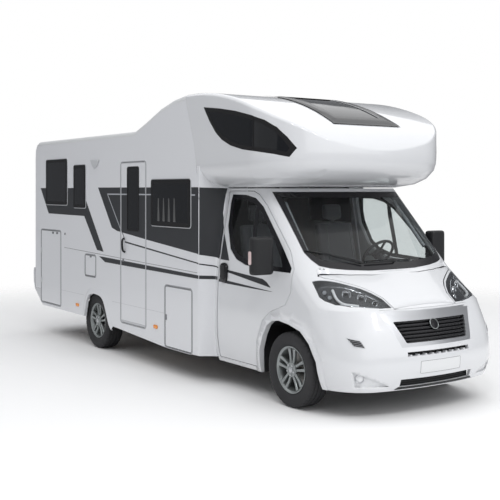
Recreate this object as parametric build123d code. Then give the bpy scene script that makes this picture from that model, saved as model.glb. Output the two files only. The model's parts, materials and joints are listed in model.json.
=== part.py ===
from build123d import *
from collections import namedtuple
import math
import os

# Motorhome with a sleeping alcove over the cab.
# Millimetres, z up from the ground, the front faces -y and +x is the vehicle's left.
# Every y in this file is measured rearward from the front axle; save() moves the
# finished pieces so that the whole vehicle is centred on the origin.

FRONT_AXLE_Y = -2565
WHEELBASE = 4035

# habitation body
BODY_HALF = 1150
BODY_FRONT = 1450
BODY_REAR = 6050
WALL = 32
SKIRT_TOP = 620
FLOOR_TOP = 700
FLOOR_THICK = 40
ROOF_Z = 2737
PEAK_Y = 1700
PEAK_Z = 3072
SEAM_DROP = 55
ROOF_EDGE_RADIUS = 40
DOOR_GAP = 6
LEAF_THICK = 24
ALCOVE_SKIN = 35
BED_FLOOR_SEAM = 2310

# cab
CAB_BACK = 1310
CAB_SKIN = 40
CAB_SHELL_END = 1290
BELT_Z = 1250
BUMPER_SEAM_Y = -505
WING_END_Y = 0
WING_TOP_Z = 1262
WING_FOOT_Y = 600
WING_FOOT_Z = 1060
GLASS = 6
BONNET_GAP = 10
COWL_GAP = 18
LAMP_COVER = 5
LAMP_DEPTH = 75
ARCH_LIP = 16
ARCH_LIP_WIDTH = 55
CAB_FLOOR_TOP = 650
STEERING_CENTRE = (420, 350, 1370)
STEERING_TILT = 50

# wheels
TYRE_RADIUS = 355
TYRE_HALF_WIDTH = 112
BEAD_RADIUS = 206
FRONT_TRACK_HALF = 905
REAR_TRACK_HALF = 990
SPOKE_PAIRS = 5

CabSection = namedtuple("CabSection", "z half_width front_y corner_radius bow_angle")

LOWER_CAB = [
    CabSection(250, 965, -905, 420, 13),
    CabSection(420, 1010, -965, 450, 15),
    CabSection(600, 1025, -960, 480, 15),
    CabSection(820, 1025, -870, 480, 14),
    CabSection(960, 1018, -800, 470, 14),
]
BONNET_SLOPE = [
    CabSection(960, 1018, -800, 470, 14),
    CabSection(1110, 1012, -575, 425, 13),
    CabSection(BELT_Z, 1000, -350, 330, 12),
]
GLASSHOUSE = [
    CabSection(BELT_Z, 1000, -350, 330, 12),
    CabSection(2060, 860, 355, 290, 11),
]
ALCOVE_BELLY = [
    CabSection(2070, 875, 345, 300, 11),
    CabSection(2105, 1000, 100, 420, 10),
    CabSection(2165, 1080, -60, 540, 9),
    CabSection(2250, 1134, -160, 620, 9),
]
ALCOVE_NOSE = [
    CabSection(2250, 1134, -160, 620, 9),
    CabSection(2330, 1149, -190, 640, 9),
    CabSection(2420, 1150, -198, 650, 9),
]


# Basic solids

def block(x0, x1, y0, y1, z0, z1):
    """Box between two corners."""
    centre = Location(((x0 + x1) / 2, (y0 + y1) / 2, (z0 + z1) / 2))
    return centre * Solid.make_box(x1 - x0, y1 - y0, z1 - z0).moved(
        Location((-(x1 - x0) / 2, -(y1 - y0) / 2, -(z1 - z0) / 2))
    )


def closed_wire(points, radius):
    """Closed outline, its corners rounded when a radius is given."""
    if radius:
        return Wire(FilletPolyline(*points, radius=radius, close=True).edges())
    return Wire.make_polygon(points, close=True)


def side_prism(points, x0, x1, radius=0):
    """Outline seen from the side, points (y, z), drawn across from x0 to x1."""
    wire = closed_wire([(x0, y, z) for y, z in points], radius)
    return Solid.extrude(Face(wire), Vector(x1 - x0, 0, 0))


def front_prism(points, y0, y1, radius=0):
    """Outline seen from the front, points (x, z), drawn back from y0 to y1."""
    wire = closed_wire([(x, y0, z) for x, z in points], radius)
    return Solid.extrude(Face(wire), Vector(0, y1 - y0, 0))


def plan_prism(points, z0, z1, radius=0):
    """Outline seen from above, points (x, y), drawn up from z0 to z1."""
    wire = closed_wire([(x, y, z0) for x, y in points], radius)
    return Solid.extrude(Face(wire), Vector(0, 0, z1 - z0))


def rod(start, end, radius):
    """Round bar between two points."""
    direction = Vector(*end) - Vector(*start)
    return Solid.make_cylinder(radius, direction.length, Plane(origin=start, z_dir=direction))


def rectangle(a0, a1, b0, b1):
    """Corner points of a rectangle, in order."""
    return [(a0, b0), (a1, b0), (a1, b1), (a0, b1)]


def other_side(shape):
    """The same shape on the other side of the vehicle."""
    return mirror(shape, about=Plane.YZ)


def both_sides(shape):
    """A shape together with its mirror image."""
    return shape + other_side(shape)


def joined(shapes):
    """All shapes fused into one."""
    first, *rest = shapes
    for shape in rest:
        first = first + shape
    return first


def save(shape, name):
    """Write one piece, moved to the vehicle's own origin."""
    placed = Location((0, FRONT_AXLE_Y, 0)) * shape
    placed.label = name
    export_step(placed, "parts/" + name + ".step")


# Cab and alcove forms

def cab_outline(section, inset, back_y):
    """Plan outline: straight sides, corner arcs and a bowed front, all tangent."""
    z = section.z
    half = section.half_width - inset
    radius = section.corner_radius - inset
    front = section.front_y + inset
    bow = math.radians(section.bow_angle)
    arc_x = half - radius + radius * math.sin(bow)
    bow_radius = arc_x / math.sin(bow)
    arc_y = front + bow_radius * (1 - math.cos(bow))
    centre_y = arc_y + radius * math.cos(bow)
    middle = math.radians((90 - section.bow_angle) / 2)
    mid_x = half - radius + radius * math.cos(middle)
    mid_y = centre_y - radius * math.sin(middle)
    edges = [
        Edge.make_line((-half, back_y, z), (-half, centre_y, z)),
        Edge.make_three_point_arc((-half, centre_y, z), (-mid_x, mid_y, z), (-arc_x, arc_y, z)),
        Edge.make_three_point_arc((-arc_x, arc_y, z), (0, front, z), (arc_x, arc_y, z)),
        Edge.make_three_point_arc((arc_x, arc_y, z), (mid_x, mid_y, z), (half, centre_y, z)),
        Edge.make_line((half, centre_y, z), (half, back_y, z)),
        Edge.make_line((half, back_y, z), (-half, back_y, z)),
    ]
    return Wire(edges)


def cab_loft(sections, inset=0, drop=0, ruled=False, back_y=CAB_BACK):
    """Solid through plan outlines, drawn in by inset and lowered by drop."""
    wires = [cab_outline(s._replace(z=s.z - drop), inset, back_y) for s in sections]
    return Solid.make_loft(wires, ruled)


def cab_outer():
    """The whole outer form of the cab up to the alcove."""
    return cab_loft(LOWER_CAB) + cab_loft(BONNET_SLOPE) + cab_loft(GLASSHOUSE, ruled=True)


def cab_inner(skin):
    """The cab's form drawn in by the skin, open at the bottom and at the back."""
    lower = [LOWER_CAB[0]._replace(z=100)] + LOWER_CAB[1:]
    back = CAB_BACK + 300
    solid = cab_loft(lower, skin, back_y=back)
    solid = solid + cab_loft(BONNET_SLOPE, skin, back_y=back)
    return solid + cab_loft(GLASSHOUSE, skin, ruled=True, back_y=back)


def bonnet_skin():
    """Sheet that follows the slope between the lamps and the windscreen."""
    return cab_loft(BONNET_SLOPE) - cab_loft(BONNET_SLOPE, inset=1, drop=24, back_y=CAB_BACK + 100)


def glass_skin(depth, thickness):
    """Thin sheet under the glasshouse surface, for windscreen and door glass."""
    outer = cab_loft(GLASSHOUSE, depth, ruled=True)
    return outer - cab_loft(GLASSHOUSE, depth + thickness, ruled=True, back_y=CAB_BACK + 100)


def alcove_roof_prism(inset, half):
    """Everything under the alcove's roof line, as seen from the side."""
    nose = (-half, -198 + inset, 2430 - inset / 2)
    brow = (-half, 80 + inset * 0.55, 2712 - inset * 0.8)
    crown = (-half, 1560, PEAK_Z - inset)
    peak = (-half, PEAK_Y, PEAK_Z - inset)
    low_back = (-half, PEAK_Y, 2000)
    low_front = (-half, -198 + inset, 2000)
    roof = Edge.make_tangent_arc(crown, (0, -1, 0), brow)
    edges = [
        Edge.make_tangent_arc(brow, roof % 1, nose),
        roof,
        Edge.make_line(crown, peak),
        Edge.make_line(peak, low_back),
        Edge.make_line(low_back, low_front),
        Edge.make_line(low_front, nose),
    ]
    return Solid.extrude(Face(Wire(edges)), Vector(2 * half, 0, 0))


def alcove_form(inset):
    """Alcove: sloping belly, rounded nose and crowned roof."""
    back = PEAK_Y + 50
    belly = [s._replace(z=s.z + inset * k) for s, k in zip(ALCOVE_BELLY, (1, 1, 0.7, 0.4))]
    nose = [belly[-1]] + ALCOVE_NOSE[1:]
    solid = cab_loft(belly, inset, ruled=True, back_y=back)
    solid = solid + cab_loft(nose, inset, ruled=True, back_y=back)
    top = Face(cab_outline(ALCOVE_NOSE[-1], inset, back))
    solid = solid + Solid.extrude(top, Vector(0, 0, 700))
    return solid & alcove_roof_prism(inset, BODY_HALF + 100)


def alcove_outer(radius):
    """Alcove with its roof edges rounded."""
    solid = alcove_form(0)
    edges = [
        e
        for e in solid.edges()
        if e.center().Z > 2450 and abs(e.center().X) > 5 and e.center().Y < PEAK_Y - 5
    ]
    return fillet(edges, radius)


ALCOVE_SEAM = [(1450, 2200), (1514, 2545), (1680, 2993), (1680, 3150)]


def ahead_of_seam(half):
    """Region in front of the joint between alcove and habitation body."""
    return side_prism([(1450, 100)] + ALCOVE_SEAM + [(-600, 3150), (-600, 100)], -half, half)


# Habitation body forms

def body_profile(inset):
    """Side outline of the habitation body, from the alcove seam to the rear wall."""
    return [
        (BODY_FRONT - 100, SKIRT_TOP),
        (BODY_FRONT - 100, PEAK_Z - inset),
        (PEAK_Y - 15, PEAK_Z - inset),
        (1950, 3040 - inset),
        (2260, 2962 - inset),
        (2570, 2845 - inset),
        (2890, ROOF_Z - inset),
        (5890, ROOF_Z - inset),
        (5980 - inset / 2, 2705 - inset),
        (6035 - inset, 2630 - inset / 2),
        (BODY_REAR - inset, 2500),
        (BODY_REAR - inset, SKIRT_TOP),
    ]


def body_outer():
    """Habitation body as one block with rounded roof edges and rear corners."""
    solid = side_prism(body_profile(0), -BODY_HALF, BODY_HALF)
    solid = solid - ahead_of_seam(BODY_HALF + 50)
    roof = [e for e in solid.edges() if abs(e.center().X) > BODY_HALF - 1 and e.center().Z > 2550]
    roof = [e for e in roof if e.center().Y > 1750]
    rear = [e for e in solid.edges() if abs(e.center().X) > BODY_HALF - 1 and e.center().Y > 5900]
    return fillet(list({e for e in roof + rear}), ROOF_EDGE_RADIUS)


def body_shell():
    """Walls and roof of the habitation body, hollow and open below and in front."""
    room = side_prism(body_profile(WALL), -(BODY_HALF - WALL), BODY_HALF - WALL)
    drop = block(-(BODY_HALF - WALL), BODY_HALF - WALL, 1300, BODY_REAR - WALL, 300, SKIRT_TOP + 50)
    return body_outer() - room - drop


def above_roof_seam():
    """Region above the joint between the roof and the walls."""
    low = [(y, z - SEAM_DROP) for y, z in body_profile(0)[1:7]]
    outline = low + [(5960, ROOF_Z - SEAM_DROP), (5960, 3200), (1200, 3200)]
    return side_prism(outline, -1300, 1300)


# Openings in the sides. Right side as photographed, left side laid out to match the rooms.

Opening = namedtuple("Opening", "name side y0 y1 z0 z1")

WINDOWS = [
    Opening("rear bed", -1, 4855, 5596, 1837, 2466),
    Opening("washroom", -1, 4258, 4633, 1806, 2372),
    Opening("lounge", -1, 1572, 2451, 1637, 2162),
    Opening("rear bed", 1, 4855, 5596, 1837, 2466),
    Opening("kitchen", 1, 3050, 3850, 1760, 2250),
    Opening("lounge", 1, 1572, 2451, 1637, 2162),
]
HAB_DOOR = Opening("entrance", -1, 2598, 3233, 439, 2371)
LOCKER = Opening("locker", -1, 1551, 2136, 295, 974)
GARAGE = Opening("garage", -1, 5084, 5792, 436, 1470)
HATCH = Opening("hatch", -1, 3955, 4278, 927, 1198)
GARAGE_LEFT = Opening("garage", 1, 5084, 5792, 436, 1470)
HAB_DOOR_PANE = Opening("entrance pane", -1, 2770, 3065, 1560, 2314)

SKIRT_BOTTOM = [(BODY_FRONT, 289), (2150, 282), (3293, 346), (4286, 386), (5740, 388), (5806, 430)]
REAR_ARCH = [
    (3480, 250), (3560, 350), (3660, 560), (3740, 670), (3860, 706), (4080, 706), (4200, 650),
    (4286, 400), (4286, 250),
]


def opening_block(opening, gap, x_in, x_out):
    """Block through a wall at an opening, widened by the gap."""
    points = rectangle(opening.y0 - gap, opening.y1 + gap, opening.z0 - gap, opening.z1 + gap)
    return side_prism(points, opening.side * x_in, opening.side * x_out, 30 + gap)


def leaf(opening, thickness):
    """Door leaf that lies flush in the wall."""
    return opening_block(opening, 0, BODY_HALF - thickness, BODY_HALF)


def side_wall(side, openings):
    """One side wall with its windows and door openings cut."""
    inner_x, outer_x = sorted((side * (BODY_HALF - WALL), side * (BODY_HALF + 50)))
    slab = block(inner_x, outer_x, 1300, BODY_REAR - WALL, 300, 3200)
    wall = (body_shell() - above_roof_seam()) & slab
    wall = wall - side_prism(REAR_ARCH, -1200, 1200)
    for opening in openings:
        wall = wall - opening_block(opening, DOOR_GAP, BODY_HALF - 100, BODY_HALF + 50)
    for window in WINDOWS:
        if window.side == side:
            wall = wall - opening_block(window, -14, BODY_HALF - 100, BODY_HALF + 50)
    return wall


def skirt(side, openings):
    """Panel under one side wall with the rear wheel arch and its door openings."""
    outline = [(BODY_FRONT, SKIRT_TOP), *SKIRT_BOTTOM, (5806, SKIRT_TOP)]
    outer = side * BODY_HALF
    panel = side_prism(outline, outer - side * LEAF_THICK, outer) - side_prism(REAR_ARCH, -1200, 1200)
    for opening in openings:
        panel = panel - opening_block(opening, DOOR_GAP, BODY_HALF - 100, BODY_HALF + 50)
    return panel


def windows(side):
    """Hinged acrylic panes that stand a little proud of one side wall."""
    panes = []
    for window in WINDOWS:
        if window.side == side:
            pane = opening_block(window, 0, BODY_HALF, BODY_HALF + 12)
            neck = opening_block(window, -17, BODY_HALF - 20, BODY_HALF)
            panes.append(pane + neck)
    return joined(panes)


def rear_wall():
    """Rear wall between the side walls, rounded towards the roof."""
    rear = block(-1300, 1300, BODY_REAR - WALL, 6200, 300, 3200)
    shell = body_shell() - above_roof_seam()
    inner = block(-(BODY_HALF - WALL), BODY_HALF - WALL, 5700, 6200, 2300, 3200)
    return shell & (rear + inner)


def roof_panel():
    """Roof with its ramp up to the alcove."""
    return body_shell() & above_roof_seam()


def floor_panel():
    """Living floor with the liners over the rear wheels and the entrance step."""
    half = BODY_HALF - WALL
    panel = block(-half, half, BODY_FRONT + 20, BODY_REAR - WALL, FLOOR_TOP - FLOOR_THICK, FLOOR_TOP)
    wheel_y0, wheel_y1, inside, top = 3600, 4470, 840, 790
    liner = block(inside, half, wheel_y0, wheel_y1, FLOOR_TOP - FLOOR_THICK, top)
    space = block(inside + 15, half + 1, wheel_y0 + 15, wheel_y1 - 15, 500, top - 15)
    panel = panel + both_sides(liner) - both_sides(space)
    step = block(-half, -half + 420, HAB_DOOR.y0 + 10, HAB_DOOR.y1 - 10, 445, FLOOR_TOP)
    tread = block(-half - 1, -half + 400, HAB_DOOR.y0 + 30, HAB_DOOR.y1 - 30, 465, FLOOR_TOP + 1)
    return panel + step - tread


# Cab panels

DOOR_SIDE = [
    (-20, 1300), (85, 1455), (240, 1610), (392, 1755), (535, 1890), (690, 1995), (800, 2030), (1235, 2030),
    (1235, 300), (560, 300), (525, 560), (430, 770), (300, 870), (60, 960), (-20, 1080),
]
DOOR_GLASS_SIDE = [
    (8, 1307), (143, 1452), (297, 1607), (449, 1749), (592, 1880), (744, 1963), (933, 1995), (1180, 1998),
    (1197, 1900), (1187, 1666), (1081, 1432), (947, 1335), (770, 1287), (294, 1262), (8, 1262),
]
WINDSCREEN_HALF = [
    (829, 2026), (845, 1705), (860, 1449), (838, 1386), (800, 1333), (707, 1309), (560, 1291), (300, 1274),
]
ARCH_SIDE = [
    (-455, 240), (-425, 496), (-331, 646), (-203, 744), (-28, 786), (131, 805), (245, 790), (326, 739),
    (394, 633), (460, 484), (500, 240),
]
HEADLAMP_PLAN = [
    (-923, -225), (-825, -298), (-678, -399), (-560, -483), (-489, -556), (-431, -640), (-411, -752),
    (-537, -729), (-674, -681), (-796, -617), (-887, -523), (-932, -430), (-947, -366),
]
BONNET_SIDE = [(398, -770), (418, -640), (477, -548), (550, -470), (668, -386), (815, -285), (860, -230)]
BONNET_REAR = [(820, -190), (700, -245), (550, -290), (300, -335)]
GRILLE_FRONT = [
    (-570, 925), (570, 925), (500, 800), (440, 636), (-440, 636), (-500, 800),
]
GRILLE_TOP = 856
GRILLE_OPENING = [
    (-452, GRILLE_TOP), (452, GRILLE_TOP), (455, 845), (384, 678), (376, 670), (-376, 670), (-384, 678),
    (-455, 845),
]
SLAT_COUNT = 6
SLAT_PITCH = 31
SLAT_THICK = 15
SLAT_DEPTH = 8
SLAT_BACK = 34


def door_region(gap, rear_gap):
    """Side-view outline of the cab door, drawn out by the gaps."""
    sill = min(z for _, z in DOOR_SIDE)
    points = []
    for y, z in DOOR_SIDE:
        shift_y = rear_gap if y > 1000 else -gap
        shift_z = -gap if z == sill else (gap if z > 1300 else 0)
        points.append((y + shift_y, z + shift_z))
    return side_prism(points, 300, 1300)


def windscreen_region(gap):
    """Front-view outline of the windscreen, widened by the gap."""
    half = [(x + gap, z) for x, z in WINDSCREEN_HALF]
    points = half + [(-x, z) for x, z in reversed(half)]
    return front_prism(points, -700, 640)


def headlamp_region(gap):
    """Plan outline of one headlamp on the right side."""
    mid_x, mid_y, reach_x, reach_y = -680, -490, 270, 260
    points = [
        (mid_x + (x - mid_x) * (1 + gap / reach_x), mid_y + (y - mid_y) * (1 + gap / reach_y))
        for x, y in HEADLAMP_PLAN
    ]
    return plan_prism(points, 930, 1260)


def cab_skin():
    """The cab's outer skin."""
    return cab_outer() - cab_inner(CAB_SKIN)


def bumper_region():
    """Region of the front bumper below the lamps and ahead of the wheel arch."""
    return block(-1200, 1200, -1200, BUMPER_SEAM_Y, 200, 958)


def cab_shell(skin):
    """Wings, pillars and roof edge of the cab."""
    shell = skin - both_sides(door_region(DOOR_GAP, 16)) - windscreen_region(0)
    shell = shell - side_prism(ARCH_SIDE, -1200, 1200)
    shell = shell - bonnet_region() - bumper_region()
    shell = shell - both_sides(headlamp_region(0))
    shell = shell - block(-1200, 1200, CAB_SHELL_END, CAB_BACK + 10, 200, 2100)
    return shell - block(-560, 560, -1200, 0, 200, 960)


def arch_lip():
    """Flare round the left front wheel arch, proud of the skin, ahead of the door."""
    offset = Wire.make_polygon([(0, y, z) for y, z in ARCH_SIDE], close=True).offset_2d(ARCH_LIP_WIDTH)
    band = Solid.extrude(Face(offset), Vector(1200, 0, 0)) - side_prism(ARCH_SIDE, -10, 1210)
    raised = cab_loft(LOWER_CAB, -ARCH_LIP) - cab_loft(LOWER_CAB, 1, back_y=CAB_BACK + 100)
    lip = raised & band & block(700, 1200, -900, 600, 250, 1000)
    return lip - door_region(DOOR_GAP, 16)


def split_wing(shell):
    """The left front wing, cut from the cab shell ahead of the door and round the arch."""
    upper = block(0, 1200, -1200, WING_END_Y, 200, WING_TOP_Z)
    lower = block(0, 1200, WING_END_Y, WING_FOOT_Y, 200, WING_FOOT_Z)
    return shell & (upper + lower)


def cab_door(skin):
    """Left cab door with its window cut out."""
    door = skin & door_region(0, 0)
    return door - side_prism(DOOR_GLASS_SIDE, 300, 1300)


def cab_door_glass():
    """Fixed pane of the left cab door."""
    return glass_skin(4, 5) & side_prism(DOOR_GLASS_SIDE, 700, 1300)


def cab_floor():
    """Cab floor, seat boxes, front bulkhead and the liners of the front wheels."""
    top = CAB_FLOOR_TOP
    floor = block(-960, 960, 500, BODY_FRONT, top - 30, top) + block(-560, 560, -100, 500, top - 30, top)
    riser = block(-960, 960, BODY_FRONT, BODY_FRONT + 20, top - 30, FLOOR_TOP)
    bulkhead = block(-880, 880, -120, -100, 815, 1120) + block(-560, 560, -120, -100, top - 30, 815)
    seat_box = block(300, 720, 620, 1040, top, 880)
    outline = rectangle(-495, 500, 250, 815)
    inner = [(-485, 240), (-485, 700), (-380, 805), (380, 805), (480, 700), (480, 240)]
    liner = side_prism(outline, 560, 955) - side_prism(inner, 570, 970)
    liner = liner - rod((500, 0, TYRE_RADIUS), (600, 0, TYRE_RADIUS), 60)
    floor = joined([floor, riser, bulkhead, both_sides(seat_box)])
    return floor + both_sides(liner & cab_inner(CAB_SKIN + 2))


def front_bumper(skin):
    """Bumper with the number plate panel, lower intake and fog lamp recesses."""
    bumper = skin & bumper_region()
    bumper = bumper - front_prism(GRILLE_FRONT, -1200, -400)
    bumper = bumper - both_sides(headlamp_region(6))
    bumper = bumper - front_prism(rectangle(-390, 390, 555, 593), -1200, -600)
    bumper = bumper - front_prism(rectangle(-450, 450, 285, 352), -1200, -600)
    recess = front_prism([(-887, 440), (-850, 300), (-556, 295)], -1200, -600)
    outer = cab_loft(LOWER_CAB)
    cut = both_sides(recess) & (outer - cab_loft(LOWER_CAB, 18, back_y=CAB_BACK + 50))
    return bumper - cut


def grille_surround(skin):
    """Bright frame round the grille, wider along its top."""
    return (skin & front_prism(GRILLE_FRONT, -1200, -400)) - front_prism(GRILLE_OPENING, -1200, -400)


def grille():
    """Level slats that follow the bow of the front, with the upright ties and plate behind them."""
    opening = front_prism(GRILLE_OPENING, -1200, -500)
    layers = {}
    for depth in (SLAT_DEPTH, SLAT_BACK - 12, SLAT_BACK):
        layers[depth] = cab_loft(LOWER_CAB, depth) & opening
    behind_slats = cab_loft(LOWER_CAB, SLAT_BACK)
    bars = layers[SLAT_DEPTH] - behind_slats
    gaps = []
    for number in range(SLAT_COUNT):
        top = GRILLE_TOP - SLAT_PITCH * number - SLAT_THICK
        gaps.append(front_prism(rectangle(-480, 480, top - (SLAT_PITCH - SLAT_THICK), top), -1200, -500))
    bars = bars - gaps
    ties = [block(x - 6, x + 6, -1200, -500, 600, 900) for x in (-260, 0, 260)]
    ties = (layers[SLAT_BACK - 12] - behind_slats) & ties
    plate = layers[SLAT_BACK] - cab_loft(LOWER_CAB, CAB_SKIN, back_y=CAB_BACK + 100)
    return joined([plate, bars, ties])


def lamp_layer(outer_depth, inner_depth, gap):
    """Layer of the cab form within the headlamp's outline, on the right side."""
    outer = cab_inner(outer_depth) if outer_depth else cab_outer()
    layer = (outer - cab_inner(inner_depth)) & headlamp_region(gap)
    return layer & block(-1200, 0, -1200, 200, 900, 1260)


def headlamp_cover():
    """Clear cover of the right headlamp, flush with wing and bonnet."""
    return lamp_layer(0, LAMP_COVER, -3)


def headlamp():
    """Right headlamp housing: an open cup behind the cover."""
    return lamp_layer(LAMP_COVER, LAMP_DEPTH, -3) - lamp_layer(LAMP_COVER, LAMP_DEPTH - 12, -12)


def windscreen():
    """Bowed and raked windscreen."""
    return glass_skin(0, GLASS) & windscreen_region(0)


def bonnet_region(gap=0, cowl_gap=0, bottom=900):
    """Plan outline of the bonnet, drawn in by the gap, and further along its rear edge."""
    half = BONNET_SIDE + [(x, y - cowl_gap) for x, y in BONNET_REAR]
    points = half + [(-x, y) for x, y in reversed(half)]
    wire = Wire.make_polygon([(x, y, bottom) for x, y in points])
    if gap:
        wire = wire.offset_2d(-gap, Kind.INTERSECTION)
    return Solid.extrude(Face(wire), Vector(0, 0, 1300 - bottom))


def bonnet():
    """Bonnet between the headlamps, a little smaller than its opening."""
    return bonnet_skin() & bonnet_region(BONNET_GAP, COWL_GAP, BONNET_SLOPE[0].z + 4)


def dashboard():
    """Dashboard across the cab, within the cab's inner form."""
    outline = [
        (-230, 1205), (-60, 1262), (190, 1290), (235, 1240), (230, 1080), (150, 930), (60, 880), (-90, 880),
        (-90, 1140),
    ]
    column = Location(STEERING_CENTRE, (-STEERING_TILT, 0, 0)) * rod((0, 0, -200), (0, 0, -28), 35)
    return (side_prism(outline, -900, 900) & cab_inner(CAB_SKIN + 12)) + column


def cab_seats():
    """Two cab seats with head restraints."""
    cushion = side_prism([(590, 880), (590, 1010), (640, 1045), (1080, 1010), (1130, 880)], 260, 760, 25)
    back = side_prism([(1010, 1015), (1130, 1015), (1250, 1660), (1160, 1680)], 260, 760, 25)
    rest = side_prism([(1175, 1710), (1265, 1710), (1285, 1880), (1200, 1880)], 390, 630, 25)
    post = side_prism([(1200, 1650), (1220, 1650), (1235, 1725), (1215, 1725)], 480, 540)
    return both_sides(joined([cushion, back, rest, post]))


def steering_wheel():
    """Steering wheel rim, boss and three spokes on its raked column."""
    ring = Solid.make_torus(180, 15)
    boss = Solid.make_cylinder(60, 40).moved(Location((0, 0, -20)))
    spokes = [
        block(-10, 10, 50, 180, -8, 8).moved(Location((0, 0, 0), (0, 0, a))) for a in (90, 180, 270)
    ]
    wheel = joined([ring, boss, *spokes])
    return Location(STEERING_CENTRE, (-STEERING_TILT, 0, 0)) * wheel


def mirror_unit():
    """Left door mirror: tall rounded head on its arm and foot."""
    head = plan_prism([(1055, 175), (1235, 190), (1290, 225), (1280, 292), (1065, 318)], 1236, 1600, 24)
    rims = [e for e in head.edges() if abs(e.center().Z - 1236) < 1 or abs(e.center().Z - 1600) < 1]
    head = fillet(rims, 20)
    arm = rod((1022, 250, 1250), (1085, 250, 1285), 20) + rod((1004, 250, 1345), (1085, 250, 1360), 14)
    return head + arm


# Wheels and running gear

def tyre():
    """Tyre about the x axis, centred on the origin."""
    half = [
        (BEAD_RADIUS, 84), (226, 84), (240, 102), (290, TYRE_HALF_WIDTH), (335, 106), (350, 88),
        (TYRE_RADIUS, 55),
    ]
    outline = half + [(r, -x) for r, x in reversed(half)]
    face = Face(Wire.make_polygon([(x, 0, r) for r, x in outline], close=True))
    return Solid.revolve(face, 360, Axis.X)


def rim():
    """Alloy wheel about the x axis: barrel, five pairs of spokes and hub; outer face on +x."""
    half = [(BEAD_RADIUS, 84), (222, 84), (222, 93), (192, 93), (186, 60)]
    outline = half + [(r, -x) for r, x in reversed(half)]
    barrel = Solid.revolve(Face(Wire.make_polygon([(x, 0, r) for r, x in outline], close=True)), 360, Axis.X)
    hub = rod((66, 0, 0), (92, 0, 0), 62)
    spokes = []
    for pair in range(SPOKE_PAIRS):
        for lean in (-11, 11):
            spoke = block(68, 94, -13, 13, 40, 196)
            spokes.append(spoke.moved(Location((0, 0, 0), (pair * 360 / SPOKE_PAIRS + lean, 0, 0))))
    return joined([barrel, hub, *spokes])


def knuckle():
    """Left front knuckle with stub axle, brake disc and steering arm."""
    stub = rod((FRONT_TRACK_HALF - 85, 0, TYRE_RADIUS), (FRONT_TRACK_HALF + 60, 0, TYRE_RADIUS), 42)
    disc = rod((FRONT_TRACK_HALF - 20, 0, TYRE_RADIUS), (FRONT_TRACK_HALF + 4, 0, TYRE_RADIUS), 150)
    post = block(FRONT_TRACK_HALF - 80, FRONT_TRACK_HALF - 40, -45, 45, 205, 505)
    arm = block(FRONT_TRACK_HALF - 75, FRONT_TRACK_HALF - 45, 30, 150, 300, 330)
    return joined([stub, disc, post, arm])


def front_subframe():
    """Cross beam, lower arms and drive shafts between the front wheels."""
    beam = block(-400, 400, 60, 260, 230, 320)
    front_beam = block(-400, 400, -700, -630, 300, 380)
    rail = block(340, 410, -700, 1600, 320, 440)
    arm = plan_prism([(380, 240), (380, -120), (735, -20), (735, 20)], 216, 246)
    shaft = rod((0, 0, TYRE_RADIUS), (785, 0, TYRE_RADIUS), 17)
    return joined([beam, front_beam, both_sides(rail), both_sides(arm), both_sides(shaft)])


def engine_block():
    """Engine and gearbox as one plain mass at their real place."""
    return block(-330, 330, -620, -140, 390, 930)


def chassis_frame():
    """Two long rails, cross members and outriggers under the living floor."""
    rail = block(430, 490, 1475, 5700, 440, FLOOR_TOP - FLOOR_THICK)
    parts = [both_sides(rail)]
    for y in (1480, 2300, 3300, 4650, 5640):
        parts.append(block(-430, 430, y, y + 60, 480, 620))
    parts.append(both_sides(block(340, 430, 1480, 1600, 440, 480)))
    tow_bolts = [rod((x, 5600, z), (x, 5750, z), 6.5) for x in (-300, 300) for z in (510, 590)]
    for y in (1490, 2300, 3300, 4560, 5300):
        parts.append(both_sides(block(490, BODY_HALF - WALL, y, y + 40, 590, FLOOR_TOP - FLOOR_THICK)))
    return joined(parts) - joined(tow_bolts)


def rear_axle():
    """Beam axle with drums and single leaf springs."""
    y = WHEELBASE
    beam = rod((-870, y, TYRE_RADIUS), (870, y, TYRE_RADIUS), 38)
    drum = rod((840, y, TYRE_RADIUS), (REAR_TRACK_HALF + 60, y, TYRE_RADIUS), 60)
    spring = block(520, 590, y - 650, y + 650, 420, 436)
    seat = block(515, 595, y - 50, y + 50, TYRE_RADIUS, 425)
    hanger = block(490, 600, y - 650, y - 600, 430, 600) + block(490, 600, y + 600, y + 650, 430, 600)
    return joined([beam, both_sides(drum), both_sides(spring), both_sides(seat), both_sides(hanger)])


def exhaust():
    """Exhaust pipe with its silencer."""
    silencer = rod((-250, 1700, 380), (-250, 2350, 380), 90)
    pipe = rod((-250, 300, 380), (-250, 1700, 380), 28)
    tail = rod((-250, 2350, 380), (-250, 3000, 380), 28)
    return joined([silencer, pipe, tail])


def rear_bumper():
    """Bumper that wraps the rear corners below the wall."""
    outer = [(5812, 432), (6050, 600), (6092, 700), (6100, 850), (6085, 900), (6052, 905), (6052, 618)]
    half = BODY_HALF - 2
    bar = side_prism(outer + [(6020, 606), (5812, 472)], -half, half)
    end = side_prism(outer + [(5812, 618)], half - 24, half)
    return bar + both_sides(end)


def tail_lamps():
    """Upright lamp clusters on the rear wall."""
    lamp = block(960, 1080, BODY_REAR, BODY_REAR + 32, 960, 1500)
    return both_sides(lamp)


def cheek():
    """Panel that widens from the cab pillar to the left side wall."""
    cab = [(1000, 289), (1025, 600), (1018, 960), (1000, BELT_Z), (860, 2060)]
    sections = []
    for y, spread, low, top in ((CAB_SHELL_END, 0, 289, 2075), (1320, 0.12, 289, 2110),
                                (1410, 1, 289, 2300), (BODY_FRONT, 1, 289, 2300)):
        outer = [(x + (BODY_HALF - x) * spread, z) for x, z in cab]
        last = outer[-1]
        outer[-1] = (last[0], top)
        inner = [(x - 40, z) for x, z in reversed(outer)]
        sections.append(Wire.make_polygon([(x, y, z) for x, z in outer + inner], close=True))
    return Solid.make_loft(sections, True)


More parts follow.
